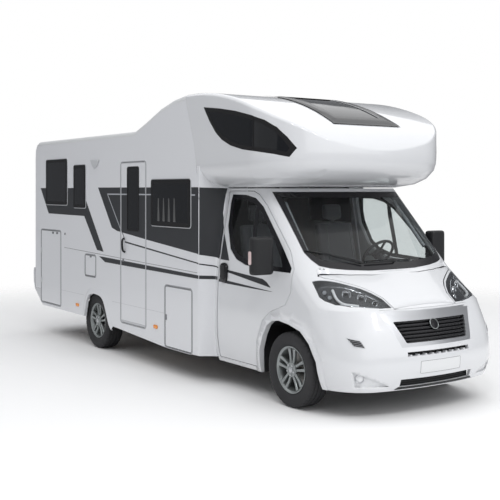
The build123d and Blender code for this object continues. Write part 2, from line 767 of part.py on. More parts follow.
ALCOVE_WINDOW_SIDE = [
    (1293, 2900), (994, 2866), (717, 2824), (441, 2764), (267, 2708), (151, 2636), (70, 2544), (7, 2441),
    (54, 2366), (173, 2395), (367, 2425), (592, 2452), (804, 2500), (956, 2562), (1070, 2639), (1186, 2758),
]


def alcove_moulding():
    """Alcove moulding with its bed floor, its side windows and roof window cut."""
    shell = (alcove_outer(ROOF_EDGE_RADIUS) - alcove_form(ALCOVE_SKIN)) & ahead_of_seam(1300)
    shell = shell - block(-700, 700, 1150, 1800, 2000, BED_FLOOR_SEAM - 10)
    shell = shell - side_prism(ALCOVE_WINDOW_SIDE, -1300, 1300)
    return shell - skylight_region(0, 2600)


def below_bed_seam():
    """Region below the joint between the bed floor pan and the upper moulding."""
    return block(-1300, 1300, -500, 1800, 2000, BED_FLOOR_SEAM)


def cheek_panels():
    """Panels beside the cab that widen out to the side walls."""
    return both_sides(cheek() - alcove_form(0))


def alcove_windows():
    """Side windows of the alcove, flush with the moulding."""
    skin = alcove_form(0) - alcove_form(12)
    panes = skin & side_prism(ALCOVE_WINDOW_SIDE, -1300, 1300)
    return panes & (block(-1300, -700, -400, 1500, 2300, 3000) + block(700, 1300, -400, 1500, 2300, 3000))


def skylight_region(gap, bottom):
    """Plan outline of the roof window over the bed."""
    front, back, half = 90 - gap, 1050 + gap, 400 + gap
    return plan_prism([(-half, front), (half, front), (half, back), (-half, back)], bottom, 3200, 40)


def alcove_skylight():
    """Roof window that follows the roof's curve."""
    skin = alcove_form(-10) - alcove_form(14)
    return skin & skylight_region(0, 2600)


def roof_vents():
    """Two roof vents with low lids."""
    return joined([block(-250, 250, y - 250, y + 250, ROOF_Z, ROOF_Z + 70) for y in (3300, 4900)])


def fuel_tank():
    """Fuel tank on the left of the frame."""
    return block(510, 820, 1600, 2500, 360, 580)


def waste_tank():
    """Waste water tank between the rails."""
    return block(-410, 410, 2380, 3280, 500, 655)


def main():
    os.makedirs("parts", exist_ok=True)
    skin = cab_skin()
    right = [HAB_DOOR, LOCKER, GARAGE, HATCH]
    left = [GARAGE_LEFT]

    # habitation body
    save(side_wall(-1, right), "side_wall_right")
    save(side_wall(1, left), "side_wall_left")
    save(rear_wall(), "rear_wall")
    save(roof_panel(), "roof_panel")
    save(floor_panel(), "floor_panel")
    save(skirt(-1, right), "skirt_right")
    save(skirt(1, left), "skirt_left")
    save(windows(-1), "windows_right")
    save(windows(1), "windows_left")
    save(roof_vents(), "roof_vents")
    save(rear_bumper(), "rear_bumper")
    save(tail_lamps(), "tail_lamps")
    moulding = alcove_moulding()
    save(moulding - below_bed_seam(), "alcove_shell")
    save(moulding & below_bed_seam(), "alcove_bed_floor")
    save(cheek_panels(), "cheek_panels")
    save(alcove_windows(), "alcove_windows")
    save(alcove_skylight(), "alcove_skylight")

    # doors of the habitation body
    save(leaf(HAB_DOOR, WALL - 2) - opening_block(HAB_DOOR_PANE, 0, 1000, 1200), "habitation_door")
    save(opening_block(HAB_DOOR_PANE, 0, BODY_HALF - 20, BODY_HALF), "habitation_door_window")
    for flap, name in (
        (LOCKER, "locker_door_right"), (GARAGE, "garage_door_right"), (GARAGE_LEFT, "garage_door_left"),
        (HATCH, "service_hatch_right"),
    ):
        save(leaf(flap, LEAF_THICK), name)

    # cab
    lip = arch_lip()
    ahead = block(-1200, 1200, -1200, BUMPER_SEAM_Y, 200, 1000)
    shell = cab_shell(skin)
    wing = split_wing(shell)
    save(shell - both_sides(wing), "cab_shell")
    wing = wing + (lip - ahead)
    save(wing, "front_wing_left")
    save(other_side(wing), "front_wing_right")
    save(cab_floor(), "cab_floor")
    save(front_bumper(skin) + both_sides(lip & ahead), "front_bumper")
    save(grille(), "grille")
    save(grille_surround(skin), "grille_surround")
    save(both_sides(headlamp()), "headlamps")
    save(both_sides(headlamp_cover()), "headlamp_covers")
    save(windscreen(), "windscreen")
    save(bonnet(), "bonnet")
    save(dashboard(), "dashboard")
    save(cab_seats(), "cab_seats")
    save(steering_wheel(), "steering_wheel")
    door = cab_door(skin)
    glass = cab_door_glass()
    unit = mirror_unit()
    for side, place in (("left", lambda s: s), ("right", other_side)):
        save(place(door), "cab_door_" + side)
        save(place(glass), "cab_door_glass_" + side)
        save(place(unit), "mirror_" + side)

    # running gear
    save(front_subframe(), "front_subframe")
    save(engine_block(), "engine_block")
    save(chassis_frame(), "chassis_frame")
    save(rear_axle(), "rear_axle")
    save(exhaust(), "exhaust")
    save(joined([fuel_tank(), waste_tank()]), "fuel_and_waste_tanks")
    save(knuckle(), "knuckle_left")
    save(other_side(knuckle()), "knuckle_right")
    Wheel = namedtuple("Wheel", "name x y")
    for wheel in (
        Wheel("front_left", FRONT_TRACK_HALF, 0),
        Wheel("front_right", -FRONT_TRACK_HALF, 0),
        Wheel("rear_left", REAR_TRACK_HALF, WHEELBASE),
        Wheel("rear_right", -REAR_TRACK_HALF, WHEELBASE),
    ):
        centre = Location((wheel.x, wheel.y, TYRE_RADIUS))
        facing = rim() if wheel.x > 0 else other_side(rim())
        save(centre * tyre(), "tyre_" + wheel.name)
        save(centre * facing, "rim_" + wheel.name)


if __name__ == "__main__":
    main()
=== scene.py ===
import json
import math

import bmesh
import bpy
from mathutils import Matrix, Vector
from mathutils.bvhtree import BVHTree

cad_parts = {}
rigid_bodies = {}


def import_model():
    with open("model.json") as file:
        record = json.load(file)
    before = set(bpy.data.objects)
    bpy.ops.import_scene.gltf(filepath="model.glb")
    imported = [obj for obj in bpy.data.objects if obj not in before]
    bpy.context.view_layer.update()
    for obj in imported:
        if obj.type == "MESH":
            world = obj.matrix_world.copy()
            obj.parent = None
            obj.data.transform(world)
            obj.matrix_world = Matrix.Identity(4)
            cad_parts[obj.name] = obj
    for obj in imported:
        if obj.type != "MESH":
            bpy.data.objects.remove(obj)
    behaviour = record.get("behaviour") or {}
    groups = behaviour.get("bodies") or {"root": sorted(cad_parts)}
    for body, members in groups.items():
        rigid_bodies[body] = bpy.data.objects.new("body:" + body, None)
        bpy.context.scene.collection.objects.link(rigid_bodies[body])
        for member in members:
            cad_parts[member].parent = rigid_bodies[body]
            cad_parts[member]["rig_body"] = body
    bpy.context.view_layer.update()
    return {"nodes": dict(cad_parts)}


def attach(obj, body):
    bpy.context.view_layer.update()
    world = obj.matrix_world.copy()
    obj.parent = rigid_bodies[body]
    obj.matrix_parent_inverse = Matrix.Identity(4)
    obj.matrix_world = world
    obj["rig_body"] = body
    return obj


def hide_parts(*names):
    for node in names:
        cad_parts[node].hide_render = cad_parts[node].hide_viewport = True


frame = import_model()
NODES = frame["nodes"]
FRONT_AXLE = -2.565
ROOT = "vehicle_body"
TAU = 2 * math.pi


# Places. Outlines are written in millimetres, y measured back from the front axle.

def at(x, y, z):
    return Vector((x / 1000, y / 1000 + FRONT_AXLE, z / 1000))


# Materials

def set_inputs(node, **values):
    """Sets inputs of a shader node by name, with the spaces of a name written as underscores."""
    for name, value in values.items():
        node.inputs[name.replace("_", " ")].default_value = value


def add_node(tree, kind, **values):
    node = tree.nodes.new("ShaderNode" + kind)
    set_inputs(node, **values)
    return node


def join(tree, *links):
    """Links, each given as node, output, node, input."""
    for giver, output, taker, socket in links:
        tree.links.new(giver.outputs[output], taker.inputs[socket])


def drifting_colour(tree, noise, colour, low):
    """Colour that drifts with the noise between a darker share of itself and its full strength."""
    mix = add_node(tree, "Mix")
    mix.data_type = "RGBA"
    mix.inputs["A"].default_value = (*[c * low for c in colour], 1)
    mix.inputs["B"].default_value = (*colour, 1)
    join(tree, (noise, "Fac", mix, "Factor"))
    return mix


def material(name, colour, rough=0.4, metal=0.0, coat=0.0, spec=0.5, vary=0.05, scale=5.0, bump=0.0,
             bump_scale=300.0, stretch=(1, 1, 1), sheen=0.0):
    """Principled material whose colour and roughness drift a little, with fine relief if asked."""
    m = bpy.data.materials.new(name)
    m.use_nodes = True
    tree = m.node_tree
    shader = tree.nodes["Principled BSDF"]
    coords = add_node(tree, "TexCoord")
    noise = add_node(tree, "TexNoise", Scale=scale, Detail=4)
    spread = add_node(tree, "MapRange", To_Min=rough * (1 - vary * 2), To_Max=min(1, rough * (1 + vary * 2)))
    mix = drifting_colour(tree, noise, colour, 1 - vary * 0.5)
    join(tree, (coords, "Object", noise, "Vector"), (noise, "Fac", spread, "Value"),
         (spread, "Result", shader, "Roughness"), (mix, "Result", shader, "Base Color"))
    set_inputs(shader, Metallic=metal, Coat_Weight=coat, Coat_Roughness=0.04, Specular_IOR_Level=spec,
               Sheen_Weight=sheen)
    if bump:
        fine = add_node(tree, "TexNoise", Scale=bump_scale, Detail=3)
        mapping = add_node(tree, "Mapping", Scale=stretch)
        relief = add_node(tree, "Bump", Strength=bump, Distance=0.002)
        join(tree, (coords, "Object", mapping, "Vector"), (mapping, "Vector", fine, "Vector"),
             (fine, "Fac", relief, "Height"), (relief, "Normal", shader, "Normal"))
    return m


def clear_glass(name, tint):
    """Thin clear glass: tinted see-through with a sharp reflection that grows at glancing angles."""
    m = bpy.data.materials.new(name)
    m.use_nodes = True
    tree = m.node_tree
    tree.nodes.clear()
    out = add_node(tree, "OutputMaterial")
    through = add_node(tree, "BsdfTransparent")
    gloss = add_node(tree, "BsdfGlossy", Roughness=0.02)
    mix = add_node(tree, "MixShader")
    fresnel = add_node(tree, "Fresnel", IOR=1.42)
    sides = add_node(tree, "NewGeometry")
    facing = add_node(tree, "Math")
    facing.operation = "SUBTRACT"
    facing.inputs[0].default_value = 1.0
    front_only = add_node(tree, "Math")
    front_only.operation = "MULTIPLY"
    noise = add_node(tree, "TexNoise", Scale=2.0)
    tinted = drifting_colour(tree, noise, tint, 0.97)
    join(tree, (tinted, "Result", through, "Color"), (sides, "Backfacing", facing, 1),
         (fresnel, "Fac", front_only, 0), (facing, "Value", front_only, 1), (front_only, "Value", mix, "Fac"),
         (through, "BSDF", mix, 1), (gloss, "BSDF", mix, 2), (mix, "Shader", out, "Surface"))
    return m


M = {
    "paint": material("paint_white", (0.70, 0.71, 0.73), 0.25, coat=0.8, vary=0.03, scale=1.5),
    "bodyside": material("bodyside_white", (0.74, 0.75, 0.775), 0.34, coat=0.4, vary=0.03, scale=1.2,
                         bump=0.03, bump_scale=6),
    "roof": material("roof_white", (0.70, 0.71, 0.72), 0.5, vary=0.06, bump=0.1, bump_scale=40),
    "decal": material("decal_charcoal", (0.034, 0.036, 0.040), 0.42, spec=0.3, vary=0.05),
    "decal_edge": material("decal_pale_line", (0.45, 0.47, 0.50), 0.4),
    "pane": material("pane_tinted", (0.010, 0.011, 0.013), 0.07, spec=0.28, vary=0.1, scale=2),
    "clear": clear_glass("glass_clear", (0.88, 0.90, 0.90)),
    "seal": material("seal_black", (0.010, 0.010, 0.011), 0.5, spec=0.25, bump=0.1),
    "seal_pale": material("seal_pale_grey", (0.55, 0.56, 0.58), 0.5),
    "black": material("plastic_gloss_black", (0.010, 0.010, 0.012), 0.22, spec=0.35),
    "plastic": material("plastic_grained", (0.016, 0.0165, 0.018), 0.5, spec=0.35, bump=0.35, bump_scale=900),
    "trim": material("plastic_interior", (0.05, 0.05, 0.055), 0.6, bump=0.35, bump_scale=700),
    # Pale trim behind the windscreen pillars, lighter to give the highlight line along each pillar: partly trim
    # colour, partly painted highlight.
    "pale_trim_highlight": material("plastic_pale_highlight", (0.30, 0.31, 0.33), 0.55, bump=0.2, bump_scale=700),
    "silver": material("silver_trim", (0.56, 0.57, 0.59), 0.3, metal=0.85, vary=0.06),
    "chrome": material("bright_metal", (0.85, 0.86, 0.87), 0.08, metal=1.0, vary=0.1),
    "alloy": material("alloy_grey", (0.30, 0.32, 0.32), 0.34, metal=0.75, vary=0.08, bump=0.05),
    "steel": material("steel_coated", (0.035, 0.035, 0.038), 0.6, vary=0.2, bump=0.3, bump_scale=60),
    "disc": material("brake_disc", (0.25, 0.24, 0.23), 0.35, metal=1.0, vary=0.15),
    "tyre": material("tyre_rubber", (0.022, 0.022, 0.024), 0.75, vary=0.1, bump=0.25, bump_scale=400),
    "liner": material("liner_black", (0.012, 0.012, 0.013), 0.85, bump=0.3, bump_scale=500),
    "floor": material("floor_board", (0.28, 0.21, 0.15), 0.45, vary=0.35, scale=9, bump=0.15,
                      stretch=(12, 1, 1), bump_scale=12),
    "cloth": material("seat_cloth", (0.11, 0.11, 0.12), 0.9, sheen=0.4, bump=0.8, bump_scale=1400, vary=0.12),
    "lens": clear_glass("lens_clear", (0.93, 0.94, 0.95)),
    "seal_mid": material("seal_grey", (0.20, 0.205, 0.215), 0.5),
    "frame_grey": material("frame_grey", (0.40, 0.41, 0.43), 0.45),
    # Lighter than the pane, for the curtain's fold crests catching the light: painted highlight.
    "curtain": material("curtain_sheen_folds", (0.032, 0.033, 0.035), 0.9, sheen=0.3, bump=0.4, bump_scale=600),
    "indicator": material("lens_pale_rose", (0.70, 0.54, 0.53), 0.2, coat=1.0),
    "guide": material("lens_frosted", (0.72, 0.72, 0.71), 0.4, coat=0.5),
    "amber": material("lens_amber", (0.85, 0.28, 0.02), 0.15, coat=1.0),
    "red": material("lens_red", (0.45, 0.01, 0.01), 0.15, coat=1.0),
    "white_lens": material("lens_white", (0.75, 0.76, 0.78), 0.2, coat=1.0),
    "plate": material("plate_blank", (0.74, 0.75, 0.76), 0.35, vary=0.02),
    "lid": material("vent_lid", (0.70, 0.71, 0.72), 0.35, coat=0.4),
    "reflector": material("lamp_reflector", (0.055, 0.057, 0.06), 0.25, metal=0.6, vary=0.15),
    "plastic_tank": material("tank_plastic", (0.02, 0.02, 0.022), 0.6, bump=0.3, bump_scale=80),
}


# Mesh tools

def in_scene(name, data):
    obj = bpy.data.objects.new(name, data)
    bpy.context.scene.collection.objects.link(obj)
    return obj


def finish(obj, mat, body, angle=35):
    """Material, smooth faces with sharp edges kept, and the body it moves with."""
    obj.data.materials.clear()
    obj.data.materials.append(M[mat] if isinstance(mat, str) else mat)
    obj.data.shade_smooth()
    obj.data.set_sharp_from_angle(angle=math.radians(angle))
    if body:
        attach(obj, body)
    return obj


def new_object(name, verts, faces):
    mesh = bpy.data.meshes.new(name)
    mesh.from_pydata([tuple(v) for v in verts], [], [tuple(f) for f in faces])
    mesh.update()
    return in_scene(name, mesh)


def from_bmesh(name, bm):
    mesh = bpy.data.meshes.new(name)
    bm.normal_update()
    bm.to_mesh(mesh)
    bm.free()
    return in_scene(name, mesh)


def evaluated_mesh(obj):
    graph = bpy.context.evaluated_depsgraph_get()
    graph.update()
    return bpy.data.meshes.new_from_object(obj.evaluated_get(graph))


def evaluated(obj):
    """Applies the modifiers of an object."""
    mesh = evaluated_mesh(obj)
    obj.modifiers.clear()
    obj.data = mesh
    return obj


def merge(name, objs):
    """Several plain objects as one."""
    bm = bmesh.new()
    for o in objs:
        bm.from_mesh(o.data)
    merged = from_bmesh(name, bm)
    for o in objs:
        bpy.data.objects.remove(o)
    return merged


def tube(name, points, radius, closed=False, res=3):
    """Round bar along a line of points, in metres."""
    curve = bpy.data.curves.new(name, "CURVE")
    curve.dimensions = "3D"
    curve.bevel_depth = radius
    curve.bevel_resolution = res
    curve.use_fill_caps = True
    spline = curve.splines.new("POLY")
    spline.points.add(len(points) - 1)
    for knot, p in zip(spline.points, points):
        knot.co = (*p, 1)
    spline.use_cyclic_u = closed
    temp = in_scene(name + "_curve", curve)
    mesh = evaluated_mesh(temp)
    bpy.data.objects.remove(temp)
    return in_scene(name, mesh)


def rounded(a0, a1, b0, b1, r, n=6):
    """Outline of a rectangle with round corners."""
    out = []
    for ca, cb, start in ((a1 - r, b1 - r, 0), (a0 + r, b1 - r, 90), (a0 + r, b0 + r, 180), (a1 - r, b0 + r, 270)):
        for i in range(n + 1):
            t = math.radians(start + 90 * i / n)
            out.append((ca + r * math.cos(t), cb + r * math.sin(t)))
    return out


def smooth_line(points, passes):
    """Corner cutting, which rounds an open line and keeps its ends."""
    for _ in range(passes):
        out = [points[0]]
        for a, b in zip(points, points[1:]):
            out.append(tuple(u * 0.75 + v * 0.25 for u, v in zip(a, b)))
            out.append(tuple(u * 0.25 + v * 0.75 for u, v in zip(a, b)))
        points = out + [points[-1]]
    return points


PLACE = {
    "side": lambda a, b, d: at(d, a, b),
    "front": lambda a, b, d: at(a, d, b),
    "plan": lambda a, b, d: at(a, b, d),
}


def faced_outward(obj):
    """Turns the faces of a closed form outward."""
    bm = bmesh.new()
    bm.from_mesh(obj.data)
    bmesh.ops.recalc_face_normals(bm, faces=bm.faces)
    bm.to_mesh(obj.data)
    bm.free()
    return obj


def slab(name, outline, view, d0, d1, bevel=0.0):
    """Flat outline given a thickness from depth d0 to d1, with soft edges."""
    place = PLACE[view]
    count = len(outline)
    verts = [place(a, b, d0) for a, b in outline] + [place(a, b, d1) for a, b in outline]
    faces = [list(range(count))[::-1], list(range(count, 2 * count))]
    faces += [[i, (i + 1) % count, count + (i + 1) % count, count + i] for i in range(count)]
    obj = faced_outward(new_object(name, verts, faces))
    if bevel:
        mod = obj.modifiers.new("bevel", "BEVEL")
        mod.width = bevel / 1000
        mod.segments = 2
        mod.limit_method = "ANGLE"
        mod.angle_limit = math.radians(40)
        evaluated(obj)
    return obj


def revolve_x(name, profile, count, centre, wave=None):
    """Profile of (x, radius) in millimetres turned about a line along x."""
    rings = len(profile)
    verts = []
    for i in range(count):
        t = TAU * i / count
        for k, (x, r) in enumerate(profile):
            rr = r + (wave(k, i) if wave else 0)
            verts.append(centre + Vector((x, rr * math.sin(t), rr * math.cos(t))) / 1000)
    faces = []
    for i in range(count):
        j = (i + 1) % count
        for k in range(rings - 1):
            faces.append([i * rings + k, i * rings + k + 1, j * rings + k + 1, j * rings + k])
    return new_object(name, verts, faces)


class Surface:
    """The outer surface of some nodes, for laying trim on it."""

    def __init__(self, *names):
        bm = bmesh.new()
        for n in names:
            bm.from_mesh(NODES[n].data)
        self.tree = BVHTree.FromBMesh(bm)
        bm.free()

    def cast(self, origin, direction, lift):
        hit, normal, _, _ = self.tree.ray_cast(origin, direction)
        if hit is None:
            return None
        if normal.dot(direction) > 0:
            normal = -normal
        return hit + normal * (lift / 1000)

    def side(self, y, z, lift, left=False):
        sign = 1 if left else -1
        start = at(0, y, z)
        return self.cast(Vector((sign * 3, start.y, start.z)), Vector((-sign, 0, 0)), lift)

    def front(self, x, z, lift):
        return self.cast(Vector((x / 1000, -6, z / 1000)), Vector((0, 1, 0)), lift)

    def top(self, x, y, lift):
        start = at(x, y, 0)
        return self.cast(Vector((start.x, start.y, 5)), Vector((0, 0, -1)), lift)


def cut_across(bm, axis, value):
    """Cuts a flat mesh along the line where one coordinate has the value."""
    place = [0, 0, 0]
    normal = [0, 0, 0]
    place[axis] = value
    normal[axis] = 1
    geom = bm.verts[:] + bm.edges[:] + bm.faces[:]
    bmesh.ops.bisect_plane(bm, geom=geom, plane_co=place, plane_no=normal)


def sheet_on(name, outline, project, step):
    """Filled outline cut into a grid and laid on a surface."""
    bm = bmesh.new()
    bm.faces.new([bm.verts.new((a, b, 0)) for a, b in outline])
    bmesh.ops.triangulate(bm, faces=bm.faces[:], ngon_method="EAR_CLIP")
    for axis in (0, 1):
        low = min(p[axis] for p in outline)
        high = max(p[axis] for p in outline)
        cuts = int((high - low) / step)
        for i in range(1, cuts + 1):
            cut_across(bm, axis, low + (high - low) * i / (cuts + 1))
    lost = []
    for v in bm.verts:
        p = project(v.co.x, v.co.y)
        if p is None:
            lost.append(v)
        else:
            v.co = p
    if lost:
        bmesh.ops.delete(bm, geom=lost, context="VERTS")
    return from_bmesh(name, bm)


def outline_on(name, points, project, radius, step):
    """Thin round line laid along a closed outline on a surface."""
    path = []
    for a, b in zip(points, points[1:] + points[:1]):
        parts = max(1, int(math.dist(a, b) / step))
        for k in range(parts):
            t = k / parts
            path.append((a[0] + (b[0] - a[0]) * t, a[1] + (b[1] - a[1]) * t))
    laid = [project(a, b) for a, b in path]
    return tube(name, [p for p in laid if p is not None], radius / 1000, closed=True, res=2)


def smooth_copy(node, mat):
    """A node's own mesh with its faces joined, so that its curves shade smoothly."""
    bm = bmesh.new()
    bm.from_mesh(NODES[node].data)
    bmesh.ops.remove_doubles(bm, verts=bm.verts, dist=0.00002)
    obj = from_bmesh(node + "_shaded", bm)
    finish(obj, mat, NODES[node]["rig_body"], 32)
    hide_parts(node)


# Finish of the carried-over nodes

FINISH = {
    "side_wall_right": "bodyside", "side_wall_left": "bodyside", "rear_wall": "bodyside", "roof_panel": "roof",
    "floor_panel": "floor", "skirt_right": "bodyside", "skirt_left": "bodyside", "windows_right": "pane",
    "windows_left": "pane", "roof_vents": "lid", "rear_bumper": "paint", "tail_lamps": "red",
    "alcove_windows": "pane", "alcove_skylight": "pane", "habitation_door": "bodyside",
    "habitation_door_window": "pane", "locker_door_right": "bodyside", "garage_door_right": "bodyside",
    "garage_door_left": "bodyside", "service_hatch_right": "bodyside", "cab_floor": "liner",
    "dashboard": "trim", "cab_seats": "cloth", "steering_wheel": "plastic", "front_subframe": "steel",
    "engine_block": "steel", "chassis_frame": "steel", "rear_axle": "steel", "exhaust": "steel",
    "knuckle_left": "disc", "knuckle_right": "disc", "grille": "black",
    "grille_surround": "silver", "headlamps": "reflector", "headlamp_covers": "lens",
    "alcove_bed_floor": "paint", "cheek_panels": "bodyside", "fuel_and_waste_tanks": "plastic_tank",
    "windscreen": "clear", "cab_door_glass_left": "clear", "cab_door_glass_right": "clear",
    "alcove_shell": "paint", "cab_shell": "paint", "front_wing_left": "paint", "front_wing_right": "paint",
    "front_bumper": "paint", "bonnet": "paint", "cab_door_left": "paint", "cab_door_right": "paint",
}
SMOOTH = (
    "alcove_shell", "cab_shell", "front_wing_left", "front_wing_right", "front_bumper", "bonnet", "cab_door_left",
    "cab_door_right", "windscreen", "alcove_windows", "alcove_skylight", "roof_panel", "headlamps",
    "headlamp_covers", "grille", "grille_surround", "alcove_bed_floor", "cheek_panels",
    "cab_door_glass_left", "cab_door_glass_right", "rear_wall", "dashboard",
)
for node, mat in FINISH.items():
    if node in SMOOTH:
        smooth_copy(node, mat)
    else:
        NODES[node].data.materials.clear()
        NODES[node].data.materials.append(M[mat])


# Wheels

# Half of the tyre's section as (x, radius), from the bead out to the middle of the tread
HALF_TYRE = [
    (84, 207), (88, 214), (86, 224), (96, 236), (104, 250), (109, 268), (111.4, 288), (111, 306), (108, 322),
    (105, 332), (103.5, 338), (98, 345), (90, 350), (80, 352.6), (72, 353.8), (71, 347), (67, 347), (66, 354.2),
    (48, 354.8), (30, 355), (29, 347), (23, 347), (22, 355), (8, 355), (0, 355),
]
TYRE_STEPS = 216
SHOULDER_POINTS = range(9, 14)
MIDDLE_POINTS = range(17, 20)
BARREL = [
    (-84, 207), (-84, 221), (-93, 221.5), (-93, 212), (-60, 196), (-50, 188), (40, 188), (62, 194), (82, 200),
    (88, 207), (93, 214), (93, 221.5), (84, 221.5), (84, 207), (-84, 207),
]
HUB = [(66, 0), (66, 66), (72, 72), (86, 70), (90, 64), (90, 36), (93.5, 32), (93.8, 0)]
NUT = [(88, 0.1), (88, 9.5), (99, 9.5), (101, 7), (101, 0.1)]
CAP = [(93, 0.1), (93, 27), (97, 27), (99, 23), (99.5, 0.1)]
SPOKE_PAIRS = 5
SPOKE_ENDS = (50, 199)
SPOKE_LEANS = (16, 10.5)
SPOKE_SHARES = (0, 0.12, 0.3, 0.5, 0.7, 0.88, 1)
# across the spoke as a share of its half width, depth behind its face
SPOKE_SECTION = ((-1, -26), (-1, -5), (-0.78, 0), (0.78, 0), (1, -5), (1, -26))


def make_tyre(name, centre):
    profile = HALF_TYRE + [(-x, r) for x, r in HALF_TYRE[-2::-1]]
    last = len(profile) - 1

    def tread(k, i):
        """Cross cuts in the shoulder and middle ribs of the tread, staggered from side to side."""
        m = min(k, last - k)
        stagger = 2 if k > last / 2 else 0
        if m in SHOULDER_POINTS:
            return -6 if (i + stagger) % 6 == 0 else 0
        if m in MIDDLE_POINTS:
            return -4 if i % 9 == 4 else 0
        return 0

    return revolve_x("tyre_" + name + "_look", profile, TYRE_STEPS, centre, tread)


def outward(profile, sign):
    return [(sign * x, r) for x, r in profile]


def add_spoke(bm, centre, sign, base, lean):
    """One straight spoke, leaning from the middle line of its pair."""
    rows = []
    for t in SPOKE_SHARES:
        r = SPOKE_ENDS[0] + (SPOKE_ENDS[1] - SPOKE_ENDS[0]) * t
        start, end = (base + lean * math.radians(v) for v in SPOKE_LEANS)
        turn = start + (end - start) * t
        width = 15 - 2.5 * math.sin(math.pi * t) + 3 * t * t
        face = 84 - 8 * math.sin(math.pi * min(1, t * 1.05)) + 2 * t
        row = []
        for across, depth in SPOKE_SECTION:
            y = r * math.sin(turn) + math.cos(base) * across * width
            z = r * math.cos(turn) - math.sin(base) * across * width
            row.append(bm.verts.new(centre + Vector((sign * (face + depth), y, z)) / 1000))
        rows.append(row)
    count = len(SPOKE_SECTION)
    for a, b in zip(rows, rows[1:]):
        for k in range(count):
            bm.faces.new((a[k], a[(k + 1) % count], b[(k + 1) % count], b[k]))
    bm.faces.new(rows[0])
    bm.faces.new(rows[-1])


def make_rim(name, centre, sign):
    """Alloy wheel with five pairs of straight spokes, hub with nuts, and its dished barrel."""
    parts = [revolve_x("part", outward(profile, sign), 64, centre) for profile in (BARREL, HUB)]
    bm = bmesh.new()
    for pair in range(SPOKE_PAIRS):
        for lean in (-1, 1):
            add_spoke(bm, centre, sign, TAU * pair / SPOKE_PAIRS, lean)
    bmesh.ops.recalc_face_normals(bm, faces=bm.faces)
    parts.append(from_bmesh("spokes", bm))
    rim = merge("rim_" + name + "_look", parts)
    finish(rim, "alloy", None, 30)
    nuts = []
    for i in range(5):
        t = TAU * (i + 0.5) / 5
        place = centre + Vector((0, 50 * math.sin(t), 50 * math.cos(t))) / 1000
        nuts.append(revolve_x("nut", outward(NUT, sign), 6, place))
    nuts.append(revolve_x("cap", outward(CAP, sign), 40, centre))
    hardware = merge("rim_" + name + "_nuts", nuts)
    finish(hardware, "silver", None, 30)
    return rim, hardware


WHEELS = {"front_left": (905, 0), "front_right": (-905, 0), "rear_left": (990, 4035), "rear_right": (-990, 4035)}
for name, (x, y) in WHEELS.items():
    centre = at(x, y, 355)
    sign = 1 if x > 0 else -1
    body = "wheel_" + name
    tyre = make_tyre(name, centre)
    finish(tyre, "tyre", body, 40)
    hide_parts("tyre_" + name)
    rim, hardware = make_rim(name, centre, sign)
    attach(rim, body)
    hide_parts("rim_" + name)
    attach(hardware, body)


# Outlines and laid trim

SIDES = (("right", -1), ("left", 1))


def lerp(a, b, t):
    return tuple(u + (v - u) * t for u, v in zip(a, b))


def mirrored(half):
    """Points of the left half, then their mirror images in reverse order."""
    return half + [(-x, z) for x, z in reversed(half)]


def shrink(points, gap):
    """Closed outline drawn in by the gap with mitred corners. A negative gap grows it."""
    sharpest = 0.35
    area = sum(a[0] * b[1] - b[0] * a[1] for a, b in zip(points, points[1:] + points[:1]))
    turn = 1 if area > 0 else -1
    out = []
    count = len(points)
    for i in range(count):
        before, here, after = (Vector(points[(i + k) % count]) for k in (-1, 0, 1))
        d0 = (here - before).normalized()
        d1 = (after - here).normalized()
        n0 = Vector((-d0.y, d0.x)) * turn
        n1 = Vector((-d1.y, d1.x)) * turn
        middle = (n0 + n1).normalized()
        out.append(tuple(here + middle * (gap / max(sharpest, middle.dot(n0)))))
    return out


def ring_laid(name, outer, inner, project, mat, body, step=40, rows=1):
    """Band between two closed outlines with the same number of points, laid on a surface."""
    pairs = []
    count = len(outer)
    for i in range(count):
        j = (i + 1) % count
        parts = max(1, round(math.dist(outer[i], outer[j]) / step))
        pairs += [
            (lerp(outer[i], outer[j], k / parts), lerp(inner[i], inner[j], k / parts)) for k in range(parts)
        ]
    bm = bmesh.new()
    grid = []
    for a, b in pairs:
        laid = [project(*lerp(a, b, k / rows)) for k in range(rows + 1)]
        grid.append([bm.verts.new(p) if p is not None else None for p in laid])
    total = len(grid)
    for i in range(total):
        near, far = grid[i], grid[(i + 1) % total]
        for k in range(rows):
            quad = (near[k], near[k + 1], far[k + 1], far[k])
            if None not in quad:
                bm.faces.new(quad)
    return finish(from_bmesh(name, bm), mat, body)


def ring_on(name, outline, inner, view, d0, d1, mat, body):
    """Flat frame with thickness between two outlines with the same number of points."""
    place = PLACE[view]
    n = len(outline)
    verts = [place(a, b, d) for d in (d0, d1) for pts in (outline, inner) for a, b in pts]
    faces = []
    for i in range(n):
        j = (i + 1) % n
        faces += [[i, j, n + j, n + i], [2 * n + i, 3 * n + i, 3 * n + j, 2 * n + j],
                  [i, 2 * n + i, 2 * n + j, j], [n + i, n + j, 3 * n + j, 3 * n + i]]
    return finish(faced_outward(new_object(name, verts, faces)), mat, body)


def frame_ring(name, box, grow, inward, sign, d0, d1, mat, body, radius=30):
    """Frame along the edge of an opening: from grow outside the box to inward inside it."""
    y0, y1, z0, z1 = box
    outer = rounded(y0 - grow, y1 + grow, z0 - grow, z1 + grow, radius + grow)
    inner = rounded(y0 + inward, y1 - inward, z0 + inward, z1 - inward, max(6, radius - inward))
    ring_on(name, outer, inner, "side", sign * d0, sign * d1, mat, body)


def fitting(name, view, outline, d0, d1, mat, body, bevel=3):
    return finish(slab(name, outline, view, d0, d1, bevel), mat, body)


def laid_tube(name, points, project, lift, radius, mat, body, rounds=1):
    """Round bar that follows a surface at a lift above it."""
    laid = [project(a, b, lift) for a, b in points]
    laid = smooth_line([p for p in laid if p is not None], rounds)
    return finish(tube(name, laid, radius / 1000), mat, body, 60)


